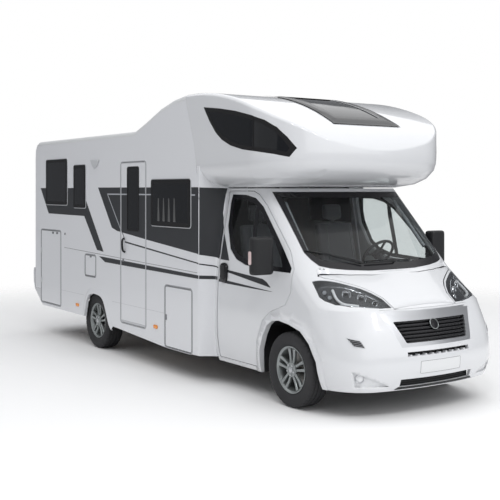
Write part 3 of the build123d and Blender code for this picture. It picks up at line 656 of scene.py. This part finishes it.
def turned(name, profile, centre, direction, mat, body, count=40):
    """Round piece about a line through its centre. Depths of the profile run along the direction."""
    obj = revolve_x(name, profile, count, Vector((0, 0, 0)))
    turn = Vector((1, 0, 0)).rotation_difference(Vector(direction).normalized()).to_matrix().to_4x4()
    obj.data.transform(Matrix.Translation(centre) @ turn)
    return finish(obj, mat, body, 30)


def bow(x, front):
    """How far back the bowed front lies at x, in millimetres."""
    radius = 2600
    return front + radius - math.sqrt(radius * radius - x * x)


def bowed_panel(name, half, z0, z1, front, mat):
    """Upright panel that follows the bow of the front."""
    steps = 20
    verts = []
    for i in range(steps + 1):
        x = -half + 2 * half * i / steps
        verts += [at(x, bow(x, front), z0), at(x, bow(x, front), z1)]
    faces = [(2 * i, 2 * i + 2, 2 * i + 3, 2 * i + 1) for i in range(steps)]
    finish(new_object(name, verts, faces), mat, ROOT)


# Bands on the habitation body. Boxes are (y0, y1, z0, z1).

WALL = 1150
BAND_END = 1441
LEAF_GAP = 6
DOORS = {
    "right": {
        "habitation_door": (2598, 3233, 439, 2371), "garage_door_right": (5084, 5792, 436, 1470),
        "locker_door_right": (1551, 2136, 295, 974), "service_hatch_right": (3955, 4278, 927, 1198),
    },
    "left": {"garage_door_left": (5084, 5792, 436, 1470)},
}
PANES = {
    "right": [(4855, 5596, 1837, 2466), (4258, 4633, 1806, 2372), (1572, 2451, 1637, 2162)],
    "left": [(4855, 5596, 1837, 2466), (3050, 3850, 1760, 2250), (1572, 2451, 1637, 2162)],
}
DOOR_PANE = (2770, 3065, 1560, 2314)
BODY_BANDS = [
    [(5821, 2068), (5519, 1708), (4308, 1700), (3918, 1276), (3721, 1261), (4240, 1890), (4400, 2068)],
    [(3886, 2073), (3484, 1574), (3342, 1540), (2577, 1467), (BAND_END, 1368), (BAND_END, 2073)],
    [(3858, 1200), (3682, 1135), (3233, 1128), (BAND_END, 1104), (BAND_END, 1142), (3233, 1186)],
    [(3128, 1424), (2610, 1378), (BAND_END, 1276), (BAND_END, 1262), (2610, 1361), (3128, 1406)],
    [(3214, 1540), (3140, 1440), (3124, 1440), (3198, 1540)],
]
PALE_LINES = [
    [(3624, 1997), (1485, 1997), (1485, 1983), (3612, 1983)],
    [(3624, 1997), (3222, 1526), (3204, 1526), (3600, 1990)],
]
BELT_LINE = [[(4965, 1257), (4965, 1251), (BAND_END, 1164), (BAND_END, 1169)]]
SKIRT_LINE = [
    [(5078, 664), (5078, 659), (4300, 659), (4300, 664)],
    [(3480, 664), (3480, 659), (2142, 659), (2142, 664)],
]
# first word of the piece's name, outlines, material, lift above the wall
WALL_MARKS = (
    ("band", BODY_BANDS, "decal", 0.8), ("line", PALE_LINES, "decal_edge", 1.2),
    ("belt", BELT_LINE, "seal_mid", 0.6), ("joint", SKIRT_LINE, "seal_pale", 0.6),
)


def flat_band(name, outlines, depth, keep, cuts, mat, body):
    """Outlines on a flat side, cut along door and window edges and kept where asked."""
    bm = bmesh.new()
    for outline in outlines:
        bm.faces.new([bm.verts.new((a, b, 0)) for a, b in outline])
    bmesh.ops.triangulate(bm, faces=bm.faces[:], ngon_method="EAR_CLIP")
    for axis, places in enumerate(cuts):
        for value in places:
            cut_across(bm, axis, value)
    drop = [f for f in bm.faces if not keep(f.calc_center_median().x, f.calc_center_median().y)]
    bmesh.ops.delete(bm, geom=drop, context="FACES")
    if not bm.faces:
        bm.free()
        return
    for v in bm.verts:
        v.co = at(depth, v.co.x, v.co.y)
    finish(from_bmesh(name, bm), mat, body)


def inside(a, b, box, gap=0):
    return box[0] - gap < a < box[1] + gap and box[2] - gap < b < box[3] + gap


def body_bands(side, sign):
    """Bands, lines and joints of one side, on the wall and on each leaf in it."""
    doors = DOORS[side]
    panes = PANES[side]

    def edges(low, high):
        leaf_edges = {v for b in doors.values() for v in (b[low] - LEAF_GAP, b[low], b[high], b[high] + LEAF_GAP)}
        return sorted(leaf_edges | {v for b in panes + [DOOR_PANE] for v in (b[low], b[high])})

    def on_wall(a, b):
        in_door = any(inside(a, b, d, LEAF_GAP) for d in doors.values())
        return not in_door and not any(inside(a, b, w) for w in panes)

    cuts = (edges(0, 1), edges(2, 3))
    for kind, outlines, mat, lift in WALL_MARKS:
        depth = sign * (WALL + lift)
        flat_band(kind + "_wall_" + side, outlines, depth, on_wall, cuts, mat, ROOT)
        for door, box in doors.items():
            def on_door(a, b):
                return inside(a, b, box) and not inside(a, b, DOOR_PANE)
            flat_band(kind + "_" + door, outlines, depth, on_door, cuts, mat, door)


CHEEK_START, CHEEK_REAR = BAND_END + 1, 1246
CHEEK_BANDS = [
    [(CHEEK_START, 1368), (CHEEK_REAR, 1316), (CHEEK_REAR, 1615), (1280, 1700), (1299, 1800), (1300, 1900),
     (1297, 1991), (1291, 2062), (CHEEK_START, 2073)],
    [(CHEEK_START, 1104), (CHEEK_REAR, 1100), (CHEEK_REAR, 1134), (CHEEK_START, 1142)],
    [(CHEEK_START, 1262), (CHEEK_REAR, 1218), (CHEEK_REAR, 1231), (CHEEK_START, 1276)],
]
CAB_DOOR_BANDS = [
    [(1229, 1228), (1072, 1215), (440, 1174), (372, 1149), (302, 1104), (309, 1100), (380, 1139), (446, 1162),
     (1072, 1201), (1229, 1212)],
    [(1233, 1588), (1173, 1463), (1120, 1385), (1066, 1312), (1233, 1316)],
    [(1229, 1116), (1055, 1100), (653, 1083), (277, 1065), (277, 1062), (653, 1067), (1055, 1076), (1229, 1086)],
]


def cab_bands(side, sign):
    """Ends of the bands on the cheek panel and the stripes on the cab door."""
    left = sign > 0
    cheek = Surface("cheek_panels", "cab_shell", "alcove_bed_floor")
    laid = [sheet_on("strip", o, lambda a, b: cheek.side(a, b, 1.0, left), 12) for o in CHEEK_BANDS]
    finish(merge("band_cheek_" + side, laid), "decal", ROOT)
    door = Surface("cab_door_" + side)
    laid = [sheet_on("strip", o, lambda a, b: door.side(a, b, 0.9, left), 25) for o in CAB_DOOR_BANDS]
    finish(merge("stripes_cab_door_" + side, laid), "decal", "cab_door_" + side)


for side, sign in SIDES:
    body_bands(side, sign)
    cab_bands(side, sign)


# Fittings on the sides of the habitation body. Their inner faces lie just inside the wall's surface.

SEAT = WALL - 0.5
RING_SEAT = 1149.8
PANE_FACE = 1162
HINGE_HEIGHTS = (744, 1178)
CATCH_PLACES = (5180, 5330)
MARKER_PLACES = ((4521, 511), (2352, 484))
# Wedge lamp over the awning together with the grey fade below it. The outline takes in the shade under the lamp,
# and its pale grey colour is painted shade.
AWNING_LAMP_AND_SHADE = [(4098, 2432), (3837, 2420), (3905, 2345), (3977, 2318), (4030, 2345)]
REAR_ARCH = [
    (3480, 300), (3560, 350), (3660, 560), (3740, 670), (3860, 706), (4080, 706), (4200, 650), (4286, 400),
    (4288, 392),
]
FLARE_WIDTH = 78
# share of the flare's width, distance from the vehicle's middle
FLARE_SECTION = ((0.0, 1140), (0.03, 1163), (0.35, 1166), (0.8, 1155), (1.0, 1150.2))


def window_frames(side, sign):
    for i, pane in enumerate(PANES[side]):
        frame_ring("window_seal_%s_%d" % (side, i), pane, 10, 3, sign, RING_SEAT, 1156, "seal_pale", ROOT)
        frame_ring("window_border_%s_%d" % (side, i), pane, -5, 46, sign, PANE_FACE - 0.1, PANE_FACE + 0.4, "seal",
                   ROOT, 26)


def leaf_frames(side, sign):
    """Edge of each leaf, the fixed frame round it, and the garage doors' hinges and catches."""
    for door, box in DOORS[side].items():
        edge = "seal_pale" if door == "habitation_door" else "seal_mid"
        frame_ring("leaf_edge_" + door, box, -1, 9, sign, 1149.6, 1151.6, edge, door)
        frame_ring("leaf_frame_" + door, box, 16, -LEAF_GAP, sign, 1149.6, 1152.6, "frame_grey", ROOT, 34)
        if not door.startswith("garage"):
            continue
        for z in HINGE_HEIGHTS:
            fitting("hinge_%s_%d" % (door, z), "side", rounded(5762, 5800, z - 35, z + 35, 6), sign * SEAT,
                    sign * 1158, "seal_pale", door, 2)
        for y in CATCH_PLACES:
            fitting("catch_%s_%d" % (door, y), "side", rounded(y, y + 58, 1425, 1455, 12), sign * SEAT,
                    sign * 1157, "seal_mid", door, 2)


def curtain(side, sign):
    """Pleats of the curtain behind the lounge window, seen as faint upright folds in its dark pane. The folds are
    lighter strips laid on the pane: painted highlight where the fold crests catch the light.
    """
    y0, y1, z0, z1 = 1850, 2330, 1690, 1950
    folds = 4
    width = (y1 - y0) / folds
    for i in range(folds):
        a = y0 + width * i
        outline = [(a + width * 0.28, z0), (a + width * 0.72, z0), (a + width * 0.60, z1), (a + width * 0.44, z1)]
        # Each strip is a painted highlight on a fold crest, laid on the face of the pane.
        fold = slab("curtain_sheen_fold_%s_%d" % (side, i), outline, "side", sign * (PANE_FACE + 0.05),
                    sign * (PANE_FACE + 0.3))
        finish(fold, "curtain", ROOT)


def rear_arch_flare(side, sign):
    """Raised lip round the rear wheel arch, which fades into the wall."""
    edge = smooth_line(REAR_ARCH, 2)
    outer = []
    for k, (y, z) in enumerate(edge):
        a, b = edge[max(0, k - 1)], edge[min(len(edge) - 1, k + 1)]
        along = Vector((b[0] - a[0], b[1] - a[1])).normalized()
        outer.append((y - along.y * FLARE_WIDTH, z + along.x * FLARE_WIDTH))
    verts = [at(sign * x, *lerp(p, q, t)) for p, q in zip(edge, outer) for t, x in FLARE_SECTION]
    n = len(FLARE_SECTION)
    faces = [(i * n + k, i * n + k + 1, (i + 1) * n + k + 1, (i + 1) * n + k)
             for i in range(len(edge) - 1) for k in range(n - 1)]
    finish(new_object("rear_arch_flare_" + side, verts, faces), "bodyside", ROOT, 60)


def side_details(side, sign):
    turned("side_lock_" + side, [(0, 15), (6, 15), (8, 12), (8, 0.1)], at(sign * WALL, 4937, 1440), (sign, 0, 0),
           "seal_mid", ROOT, 24)
    for y, z in MARKER_PLACES:
        fitting("side_marker_%s_%d" % (side, y), "side", rounded(y - 48, y + 48, z - 22, z + 22, 18),
                sign * SEAT, sign * 1161, "amber", ROOT, 5)
    # Wedge lamp and the shade under it as one pale grey slab: the grey is painted shade.
    fitting("awning_lamp_and_shade_" + side, "side", AWNING_LAMP_AND_SHADE, sign * SEAT, sign * 1168, "seal_pale", ROOT, 6)


def right_side_details():
    """Handle, locks and foot strips of the doors that only the right side has. The hatch's foot strip is grey for
    the shade under its lip: painted shade.
    """
    frame_ring("entrance_window_seal", DOOR_PANE, 8, 12, -1, RING_SEAT, 1153.5, "seal", "habitation_door", 24)
    grab = [at(-1152, 3126, 1292), at(-1178, 3126, 1304), at(-1186, 3127, 1340), at(-1186, 3136, 1410),
            at(-1178, 3140, 1446), at(-1152, 3142, 1458)]
    finish(tube("entrance_grab_handle", smooth_line(grab, 2), 0.013), "black", "habitation_door")
    turned("entrance_lock", [(0, 17), (7, 17), (9, 14), (9, 0.1)], at(-WALL, 3170, 1190), (-1, 0, 0), "seal_mid",
           "habitation_door", 24)
    # name, outline, outer face, material, body, bevel
    for name, outline, face, mat, body, bevel in (
        ("locker_catch", rounded(2098, 2130, 590, 654, 10), 1158, "seal_mid", "locker_door_right", 2),
        ("hatch_catch", rounded(4080, 4124, 1168, 1192, 8), 1158, "seal_mid", "service_hatch_right", 2),
        # Lip along the hatch's foot, coloured grey for the shade under it: painted shade.
        ("hatch_foot_shade", rounded(3958, 4276, 916, 936, 8), 1154, "seal_mid", "service_hatch_right", 1),
        ("entrance_foot", rounded(2606, 3226, 442, 468, 8), 1153, "seal_pale", "habitation_door", 1),
    ):
        fitting(name, "side", outline, -SEAT, -face, mat, body, bevel)


for side, sign in SIDES:
    window_frames(side, sign)
    leaf_frames(side, sign)
    side_details(side, sign)
    curtain(side, sign)
    rear_arch_flare(side, sign)
right_side_details()


# Alcove trim

ALCOVE_WINDOW = [
    (1293, 2900), (994, 2866), (717, 2824), (441, 2764), (267, 2708), (151, 2636), (70, 2544), (7, 2441),
    (54, 2366), (173, 2395), (367, 2425), (592, 2452), (804, 2500), (956, 2562), (1070, 2639), (1186, 2758),
]
ROOF_FRAME_OUTER = [(-440, 40), (440, 40), (420, 700), (400, 1290), (-400, 1290), (-420, 700)]
ROOF_FRAME_INNER = [(-300, 190), (300, 190), (300, 700), (300, 1010), (-300, 1010), (-300, 700)]
ROOF_RAIL_PLACES = (300, 345)
alcove = Surface("alcove_windows", "alcove_shell", "alcove_skylight")


def alcove_trim(side, sign):
    """Dark border and middle bar of the side window, and the pale rails beside the roof window."""
    left = sign > 0
    ring_laid("alcove_window_border_" + side, shrink(ALCOVE_WINDOW, -8), shrink(ALCOVE_WINDOW, 34),
              lambda a, b: alcove.side(a, b, 1.2, left), "seal", ROOT, rows=2)
    laid_tube("alcove_window_mullion_" + side, [(404, 2745), (404, 2600), (404, 2440)],
              lambda a, b, lift: alcove.side(a, b, lift, left), 1.5, 5, "seal", ROOT)
    for i, x in enumerate(ROOF_RAIL_PLACES):
        laid_tube("roof_window_rail_%s_%d" % (side, i), [(sign * x, y) for y in range(190, 1010, 90)],
                  alcove.top, 5, 3.5, "seal_pale", ROOT)


for side, sign in SIDES:
    alcove_trim(side, sign)
ring_laid("roof_window_frame", ROOF_FRAME_OUTER, ROOF_FRAME_INNER, lambda a, b: alcove.top(a, b, 9), "black", ROOT,
          rows=4)
ring_laid("roof_window_skirt", ROOF_FRAME_OUTER, shrink(ROOF_FRAME_OUTER, -3), lambda a, b: alcove.top(a, b, 4),
          "seal", ROOT)


# Cab front. Outlines are (x, z).

DISC_CENTRE = at(0, -870, 812)
DISC_DIRECTION = (0, -0.9, 0.42)
VALANCE = [(-500, 258), (-462, 283), (462, 283), (500, 258)]
BROW = [(-450, 902), (450, 902), (560, 960), (-560, 960)]
PLATE = rounded(-250, 256, 392, 503, 10)
SIDE_VENT = ((897, 732), (812, 712), (786, 650), (864, 664))
TEETH = 9
TOOTH_PITCH = 85
front = Surface("front_bumper", "grille_surround")


def on_front(lift):
    return lambda x, z: front.front(x, z, lift)


def front_middle():
    """Blank disc on the grille, slot with its teeth, intake, grey brow and blank plate."""
    turned("grille_disc_ring", [(0, 46), (7, 46), (10, 49), (7, 53), (0, 53)], DISC_CENTRE, DISC_DIRECTION, "alloy",
           ROOT, 48)
    turned("grille_disc", [(2, 46), (3, 40), (5, 20), (6, 0.1)], DISC_CENTRE, DISC_DIRECTION, "black", ROOT, 48)
    bowed_panel("slot_back", 402, 545, 603, -908, "liner")
    for i in range(TEETH):
        x = TOOTH_PITCH * (i - TEETH // 2)
        y = bow(x, -950)
        tooth = [(x - 15, 553), (x + 15, 553), (x + 7, 566), (x - 7, 566)]
        fitting("slot_tooth_%d" % i, "front", tooth, y, y + 40, "paint", ROOT, 0)
    bowed_panel("intake_back", 470, 275, 362, -880, "liner")
    for i in range(3):
        z = 298 + 20 * i
        bowed_panel("intake_slat_%d" % i, 450, z, z + 7, -896, "plastic")
    finish(sheet_on("intake_lip", VALANCE, on_front(1.0), 12), "plastic", ROOT)
    finish(sheet_on("grille_brow", BROW, on_front(0.8), 20), "silver", ROOT)
    finish(sheet_on("plate_blank", PLATE, on_front(0.9), 45), "plate", ROOT)
    finish(outline_on("plate_edge", PLATE, on_front(0.9), 1.6, 30), "seal_mid", ROOT)


def front_corner(side, sign):
    """Fog lamp and slatted vent of one corner of the bumper."""
    outward = (sign * 0.62, -0.78, 0.02)
    centre = front.front(sign * 822, 382, 2)
    turned("fog_lamp_ring_" + side, [(-14, 30), (3, 33), (8, 38), (3, 43), (-14, 43)], centre, outward, "silver",
           ROOT)
    turned("fog_lamp_" + side, [(-2, 33), (4, 22), (7, 10), (8, 0.1)], centre, outward, "white_lens", ROOT)
    vent = [(sign * x, z) for x, z in SIDE_VENT]
    finish(sheet_on("side_vent_" + side, vent, on_front(1.2), 20), "black", ROOT)
    for i, t in enumerate((0.25, 0.5, 0.75)):
        outer_end, inner_end = lerp(vent[0], vent[3], t), lerp(vent[1], vent[2], t)
        slat = [outer_end, lerp(outer_end, inner_end, 0.5), inner_end]
        laid_tube("side_vent_slat_%s_%d" % (side, i), slat, front.front, 3, 3.2, "seal_mid", ROOT)
    finish(outline_on("side_vent_edge_" + side, vent, on_front(1), 4, 20), "seal_pale", ROOT)


# name, points, depth behind the cover, radius, material
LAMP_BARS = (
    ("guide", [(815, 1142), (828, 1110), (838, 1078), (837, 1052), (826, 1034), (800, 1025), (764, 1021),
               (700, 1012)], 24, 14, "guide"),
    ("lower_rail", [(850, 1016), (764, 1002), (640, 988), (520, 978), (474, 976)], 10, 6, "chrome"),
    ("upper_rail", [(700, 1150), (640, 1130), (570, 1092), (510, 1050)], 12, 5, "chrome"),
)
LAMP_BOWLS = ((722, 1108, 40), (606, 1072, 42), (522, 1026, 24))
LAMP_FACETS = ((890, 1120), (880, 1080))
cover = Surface("headlamp_covers")


def headlamp_inside(side, sign):
    """Light guide, bright rails, bowls with their dark eyes and facets behind the headlamp's cover."""
    def on_lamp(x, z, lift):
        return cover.front(sign * x, z, lift)

    for name, points, depth, radius, mat in LAMP_BARS:
        laid_tube("lamp_%s_%s" % (name, side), points, on_lamp, -depth, radius, mat, ROOT, 2)
    for i, (x, z, r) in enumerate(LAMP_BOWLS):
        centre = on_lamp(x, z, -26)
        aim = (sign * 0.42, -0.86, 0.22)
        bowl = [(2, r + 3), (6, r), (2, r - 5), (-8, r * 0.8), (-14, r * 0.5), (-15, 0.1)]
        eye = [(-12, r * 0.55), (-4, r * 0.5), (1, r * 0.3), (3, 0.1)]
        turned("lamp_bowl_%s_%d" % (side, i), bowl, centre, aim, "chrome", ROOT)
        turned("lamp_eye_%s_%d" % (side, i), eye, centre, aim, "pane", ROOT)
    for i, (x, z) in enumerate(LAMP_FACETS):
        turned("lamp_facet_%s_%d" % (side, i), [(0, 20), (5, 16), (4, 8), (6, 0.1)], on_lamp(x, z, -24),
               (sign * 0.6, -0.75, 0.2), "silver", ROOT, 8)


front_middle()
for side, sign in SIDES:
    front_corner(side, sign)
    headlamp_inside(side, sign)


# Windscreen trim, wipers, sill and cowl

HALF_GLASS = [
    (829, 2026), (845, 1705), (860, 1449), (838, 1386), (800, 1333), (707, 1309), (560, 1291), (300, 1274),
]
HALF_CLEAR = [
    (786, 1966), (806, 1705), (822, 1470), (806, 1432), (770, 1396), (690, 1372), (550, 1356), (300, 1342),
]
PILLAR = [(775, 1960), (788, 1800), (800, 1640), (812, 1500)]
# name, blade, arm
WIPERS = (
    ("long", [(-850, 1466), (-740, 1444), (-633, 1424), (-480, 1386), (-342, 1346)],
     [(-342, 1330), (-500, 1368), (-640, 1412)]),
    ("short", [(-312, 1352), (-120, 1356), (80, 1353), (284, 1346)], [(-300, 1334), (-100, 1334), (62, 1338)]),
)
SILL_REAR = [(846, -200), (824, -188), (700, -242), (550, -287), (300, -324)]
SILL_CLEARANCE = 6
SILL_PARTS = 6
COWL = [(845, -225), (820, -190), (700, -245), (550, -290), (300, -335)]
screen = Surface("windscreen")


def windscreen_trim():
    """Dark border of the glass, pale pillar trim behind it whose pale colour is partly a painted highlight line,
    and the two wipers.
    """
    ring_laid("windscreen_border", shrink(mirrored(HALF_GLASS), 3), mirrored(HALF_CLEAR),
              lambda a, b: screen.front(a, b, 0.8), "black", ROOT, 50, rows=2)
    for side, sign in SIDES:
        # Pale trim behind the glass along each pillar. Its pale colour is partly a painted highlight line.
        laid_tube("pillar_trim_highlight_" + side, [(sign * x, z) for x, z in PILLAR], screen.front, -75, 20, "pale_trim_highlight",
                  ROOT)
    for name, blade, arm in WIPERS:
        joint = [arm[-1], lerp(arm[-1], blade[2], 0.9)]
        laid_tube("wiper_blade_" + name, blade, screen.front, 13, 6, "plastic", ROOT)
        laid_tube("wiper_arm_" + name, arm, screen.front, 24, 7, "plastic", ROOT)
        laid_tube("wiper_joint_" + name, joint, screen.front, 18, 9, "plastic", ROOT)


def bonnet_sill():
    """Fixed sill that fills the gap behind the bonnet to just short of its edge."""
    lid = Surface("bonnet")
    seat = Surface("cab_shell", "windscreen")
    rows = []
    for sign in (-1, 1):
        half = [(sign * x, y) for x, y in SILL_REAR]
        for a, b in zip(half, half[1:]):
            rows += [lerp(a, b, k / SILL_PARTS) for k in range(SILL_PARTS)]
        rows.append(half[-1])
    rows.sort()
    verts = []
    for x, y in rows:
        back = seat.top(x, y, 1.2)
        edge = y
        while lid.top(x, edge, 0) is None and edge > y - 80:
            edge -= 1
        front_point = lid.top(x, edge, 1.0)
        if back is None or front_point is None:
            continue
        verts += [back, back.lerp(front_point, 1 - SILL_CLEARANCE / (y - edge))]
    faces = [(i, i + 1, i + 3, i + 2) for i in range(0, len(verts) - 2, 2)]
    finish(new_object("bonnet_sill", verts, faces), "paint", ROOT)


def cowl():
    """Dark tray below the gap behind the bonnet."""
    rear_edge = mirrored([(x, y + 16) for x, y in COWL])
    front_edge = mirrored([(x, y - 40) for x, y in COWL])
    fitting("cowl", "plan", rear_edge + front_edge[::-1], 1196, 1206, "plastic", ROOT, 0)


windscreen_trim()
bonnet_sill()
cowl()


# Cab doors and mirrors

DOOR_GLASS = [
    (8, 1307), (143, 1452), (297, 1607), (449, 1749), (592, 1880), (744, 1963), (933, 1995), (1180, 1998),
    (1197, 1900), (1187, 1666), (1081, 1432), (947, 1335), (770, 1287), (294, 1262), (8, 1262),
]
DOOR_CLEAR = [
    (150, 1335), (206, 1412), (336, 1560), (486, 1702), (620, 1828), (764, 1908), (936, 1944), (1116, 1946),
    (1132, 1890), (1122, 1692), (1034, 1474), (925, 1388), (760, 1338), (300, 1310), (150, 1306),
]
GLASS_BAR = [(630, 1290), (688, 1290), (724, 1760), (716, 1925), (664, 1895), (662, 1760)]
# name, outline, inner and outer face, material, bevel
DOOR_FITTINGS = (
    ("door_handle_", rounded(1066, 1196, 1084, 1288, 52), 996, 1030, "black", 12),
    ("door_handle_grip_", rounded(1098, 1164, 1112, 1262, 26), 1026, 1038, "plastic", 6),
    ("mirror_indicator_", rounded(236, 286, 1335, 1463, 16), 1280, 1287.2, "indicator", 3),
)
MIRROR_PANES = ((1370, 1572), (1258, 1352))
MIRROR_SLOPE = 26 / 215


def cab_door_trim(side, sign):
    """Border and bar of the door's glass, its handle, and the mirror's panes and indicator."""
    left = sign > 0
    body = "cab_door_" + side
    glass = Surface("cab_door_glass_" + side)
    ring_laid("door_glass_border_" + side, shrink(DOOR_GLASS, 4), DOOR_CLEAR,
              lambda a, b: glass.side(a, b, 0.8, left), "black", body, rows=2)
    bar = sheet_on("door_glass_bar_" + side, GLASS_BAR, lambda a, b: glass.side(a, b, 0.9, left), 60)
    finish(bar, "black", body)
    for name, outline, inner, outer, mat, bevel in DOOR_FITTINGS:
        fitting(name + side, "side", outline, sign * inner, sign * outer, mat, body, bevel)
    for i, (z0, z1) in enumerate(MIRROR_PANES):
        outline = rounded(1085, 1262, z0, z1, 20)
        laid = [at(sign * x, 319.5 - (x - 1065) * MIRROR_SLOPE, z) for x, z in outline]
        finish(new_object("mirror_glass_%s_%d" % (side, i), laid, [range(len(laid))]), "chrome", body)


for side, sign in SIDES:
    cab_door_trim(side, sign)


# Soft and moulded parts

def softened(name, node, voxel, passes):
    """A node's form with its edges rounded off."""
    obj = in_scene(name, NODES[node].data.copy())
    remesh = obj.modifiers.new("remesh", "REMESH")
    remesh.mode = "VOXEL"
    remesh.voxel_size = voxel
    ease = obj.modifiers.new("ease", "SMOOTH")
    ease.factor = 0.6
    ease.iterations = passes
    return evaluated(obj)


def soft_seats():
    """Padded cab seats with a seam down each side of the back."""
    obj = softened("seats_padded", "cab_seats", 0.016, 14)
    finish(obj, "cloth", ROOT, 60)
    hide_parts("cab_seats")
    for side, sign in SIDES:
        for i, x in enumerate((345, 675)):
            seam = [at(sign * x, y, z) for y, z in ((1006, 1060), (1012, 1120), (1060, 1350), (1120, 1640))]
            finish(tube("seat_seam_%s_%d" % (side, i), seam, 0.004), "seal_mid", ROOT)


soft_seats()
for node in ("mirror_left", "mirror_right"):
    obj = softened(node + "_moulded", node, 0.008, 26)
    finish(obj, "plastic", NODES[node]["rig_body"], 60)
    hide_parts(node)


# Dashboard details and rear end

fitting("dash_hood", "plan", rounded(260, 590, -20, 190, 60), 1278, 1318, "trim", ROOT, 14)
fitting("dash_screen", "front", rounded(-110, 110, 1130, 1250, 12), 238, 252, "pane", ROOT, 4)
for x in (-780, -170, 170, 780):
    fitting("dash_vent_%d" % x, "front", rounded(x - 55, x + 55, 1170, 1225, 18), 236, 248, "black", ROOT, 4)
fitting("glovebox", "front", rounded(-640, -270, 1010, 1130, 20), 236, 246, "trim", ROOT, 5)

# name, bottom, top, material
TAIL_LENSES = (
    ("indicator", 1390, 1485, "amber"), ("brake", 1130, 1380, "red"), ("reverse", 975, 1120, "white_lens"),
)
for side, sign in SIDES:
    x0, x1 = sorted((sign * 970, sign * 1070))
    for name, z0, z1, mat in TAIL_LENSES:
        fitting("tail_%s_%s" % (name, side), "front", rounded(x0, x1, z0, z1, 14), 6080, 6086, mat, ROOT, 4)
for i, z in enumerate((700, 2682)):
    joint = [(-1100, z), (1100, z), (1100, z + 5), (-1100, z + 5)]
    fitting("rear_joint_%d" % i, "front", joint, 6049.5, 6051, "seal_pale", ROOT, 0)


# Light, floor and camera

PHOTO_SIZE = 500
FOCAL_PIXELS = 925.15
HORIZON_ROW = 189.19
SENSOR = 36
STRIPS = 4


def studio_world():
    """Soft pale light, and plain white where the camera looks past the vehicle."""
    world = bpy.data.worlds.new("studio")
    bpy.context.scene.world = world
    world.use_nodes = True
    tree = world.node_tree
    tree.nodes.clear()
    out = add_node(tree, "OutputWorld")
    soft = add_node(tree, "Background", Color=(0.93, 0.95, 1.0, 1), Strength=0.25)
    white = add_node(tree, "Background", Color=(1, 1, 1, 1), Strength=1.0)
    mix = add_node(tree, "MixShader")
    path = add_node(tree, "LightPath")
    join(tree, (path, "Is Camera Ray", mix, "Fac"), (soft, "Background", mix, 1), (white, "Background", mix, 2),
         (mix, "Shader", out, "Surface"))


def area_light(name, place, target, size, power):
    lamp = bpy.data.lights.new(name, "AREA")
    lamp.shape = "RECTANGLE"
    lamp.size, lamp.size_y = size
    lamp.energy = power
    obj = in_scene(name, lamp)
    obj.location = place
    obj.rotation_euler = (Vector(target) - Vector(place)).to_track_quat("-Z", "Y").to_euler()


def floor_material():
    """Pale matt floor that fades out to the white background."""
    pale = material("studio_floor", (0.93, 0.93, 0.93), 0.9, vary=0.0, spec=0.1)
    tree = pale.node_tree
    coords = add_node(tree, "TexCoord")
    reach = add_node(tree, "VectorMath")
    reach.operation = "LENGTH"
    fade = add_node(tree, "MapRange", From_Min=5.0, From_Max=10.0)
    fade.interpolation_type = "SMOOTHSTEP"
    clear = add_node(tree, "BsdfTransparent")
    blend = add_node(tree, "MixShader")
    join(tree, (coords, "Object", reach, 0), (reach, "Value", fade, "Value"), (fade, "Result", blend, "Fac"),
         (tree.nodes["Principled BSDF"], "BSDF", blend, 1), (clear, "BSDF", blend, 2),
         (blend, "Shader", tree.nodes["Material Output"], "Surface"))
    return pale


studio_world()
area_light("ceiling", (0, 0, 10), (0, 0, 0), (24, 24), 1900)
area_light("fill_side", (-14, 2.0, 4.5), (0, 0.5, 1.4), (14, 7), 160)
area_light("key_front", (1.0, -13, 4.5), (0, -3.0, 1.3), (16, 7), 380)
for i in range(STRIPS):
    area_light("strip_%d" % i, (-4.4 + 2.2 * i, -7.2 - 0.9 * i, 7.0), (-1.0 + 0.8 * i, -2.6, 2.6), (0.35, 1.6), 60)
floor = new_object("studio_floor", [(-60, -60, 0), (60, -60, 0), (60, 60, 0), (-60, 60, 0)], [(0, 1, 2, 3)])
finish(floor, floor_material(), None)

camera = bpy.data.cameras.new("camera")
camera.sensor_width = SENSOR
camera.lens = FOCAL_PIXELS * SENSOR / PHOTO_SIZE
camera.shift_y = (HORIZON_ROW - PHOTO_SIZE / 2) / PHOTO_SIZE
camera.clip_end = 200
eye = in_scene("camera", camera)
eye.location = (-6.224, -9.521, 2.052)
eye.rotation_euler = (math.radians(90), 0, -0.6005)
bpy.context.scene.camera = eye
bpy.context.scene.view_settings.view_transform = "Standard"
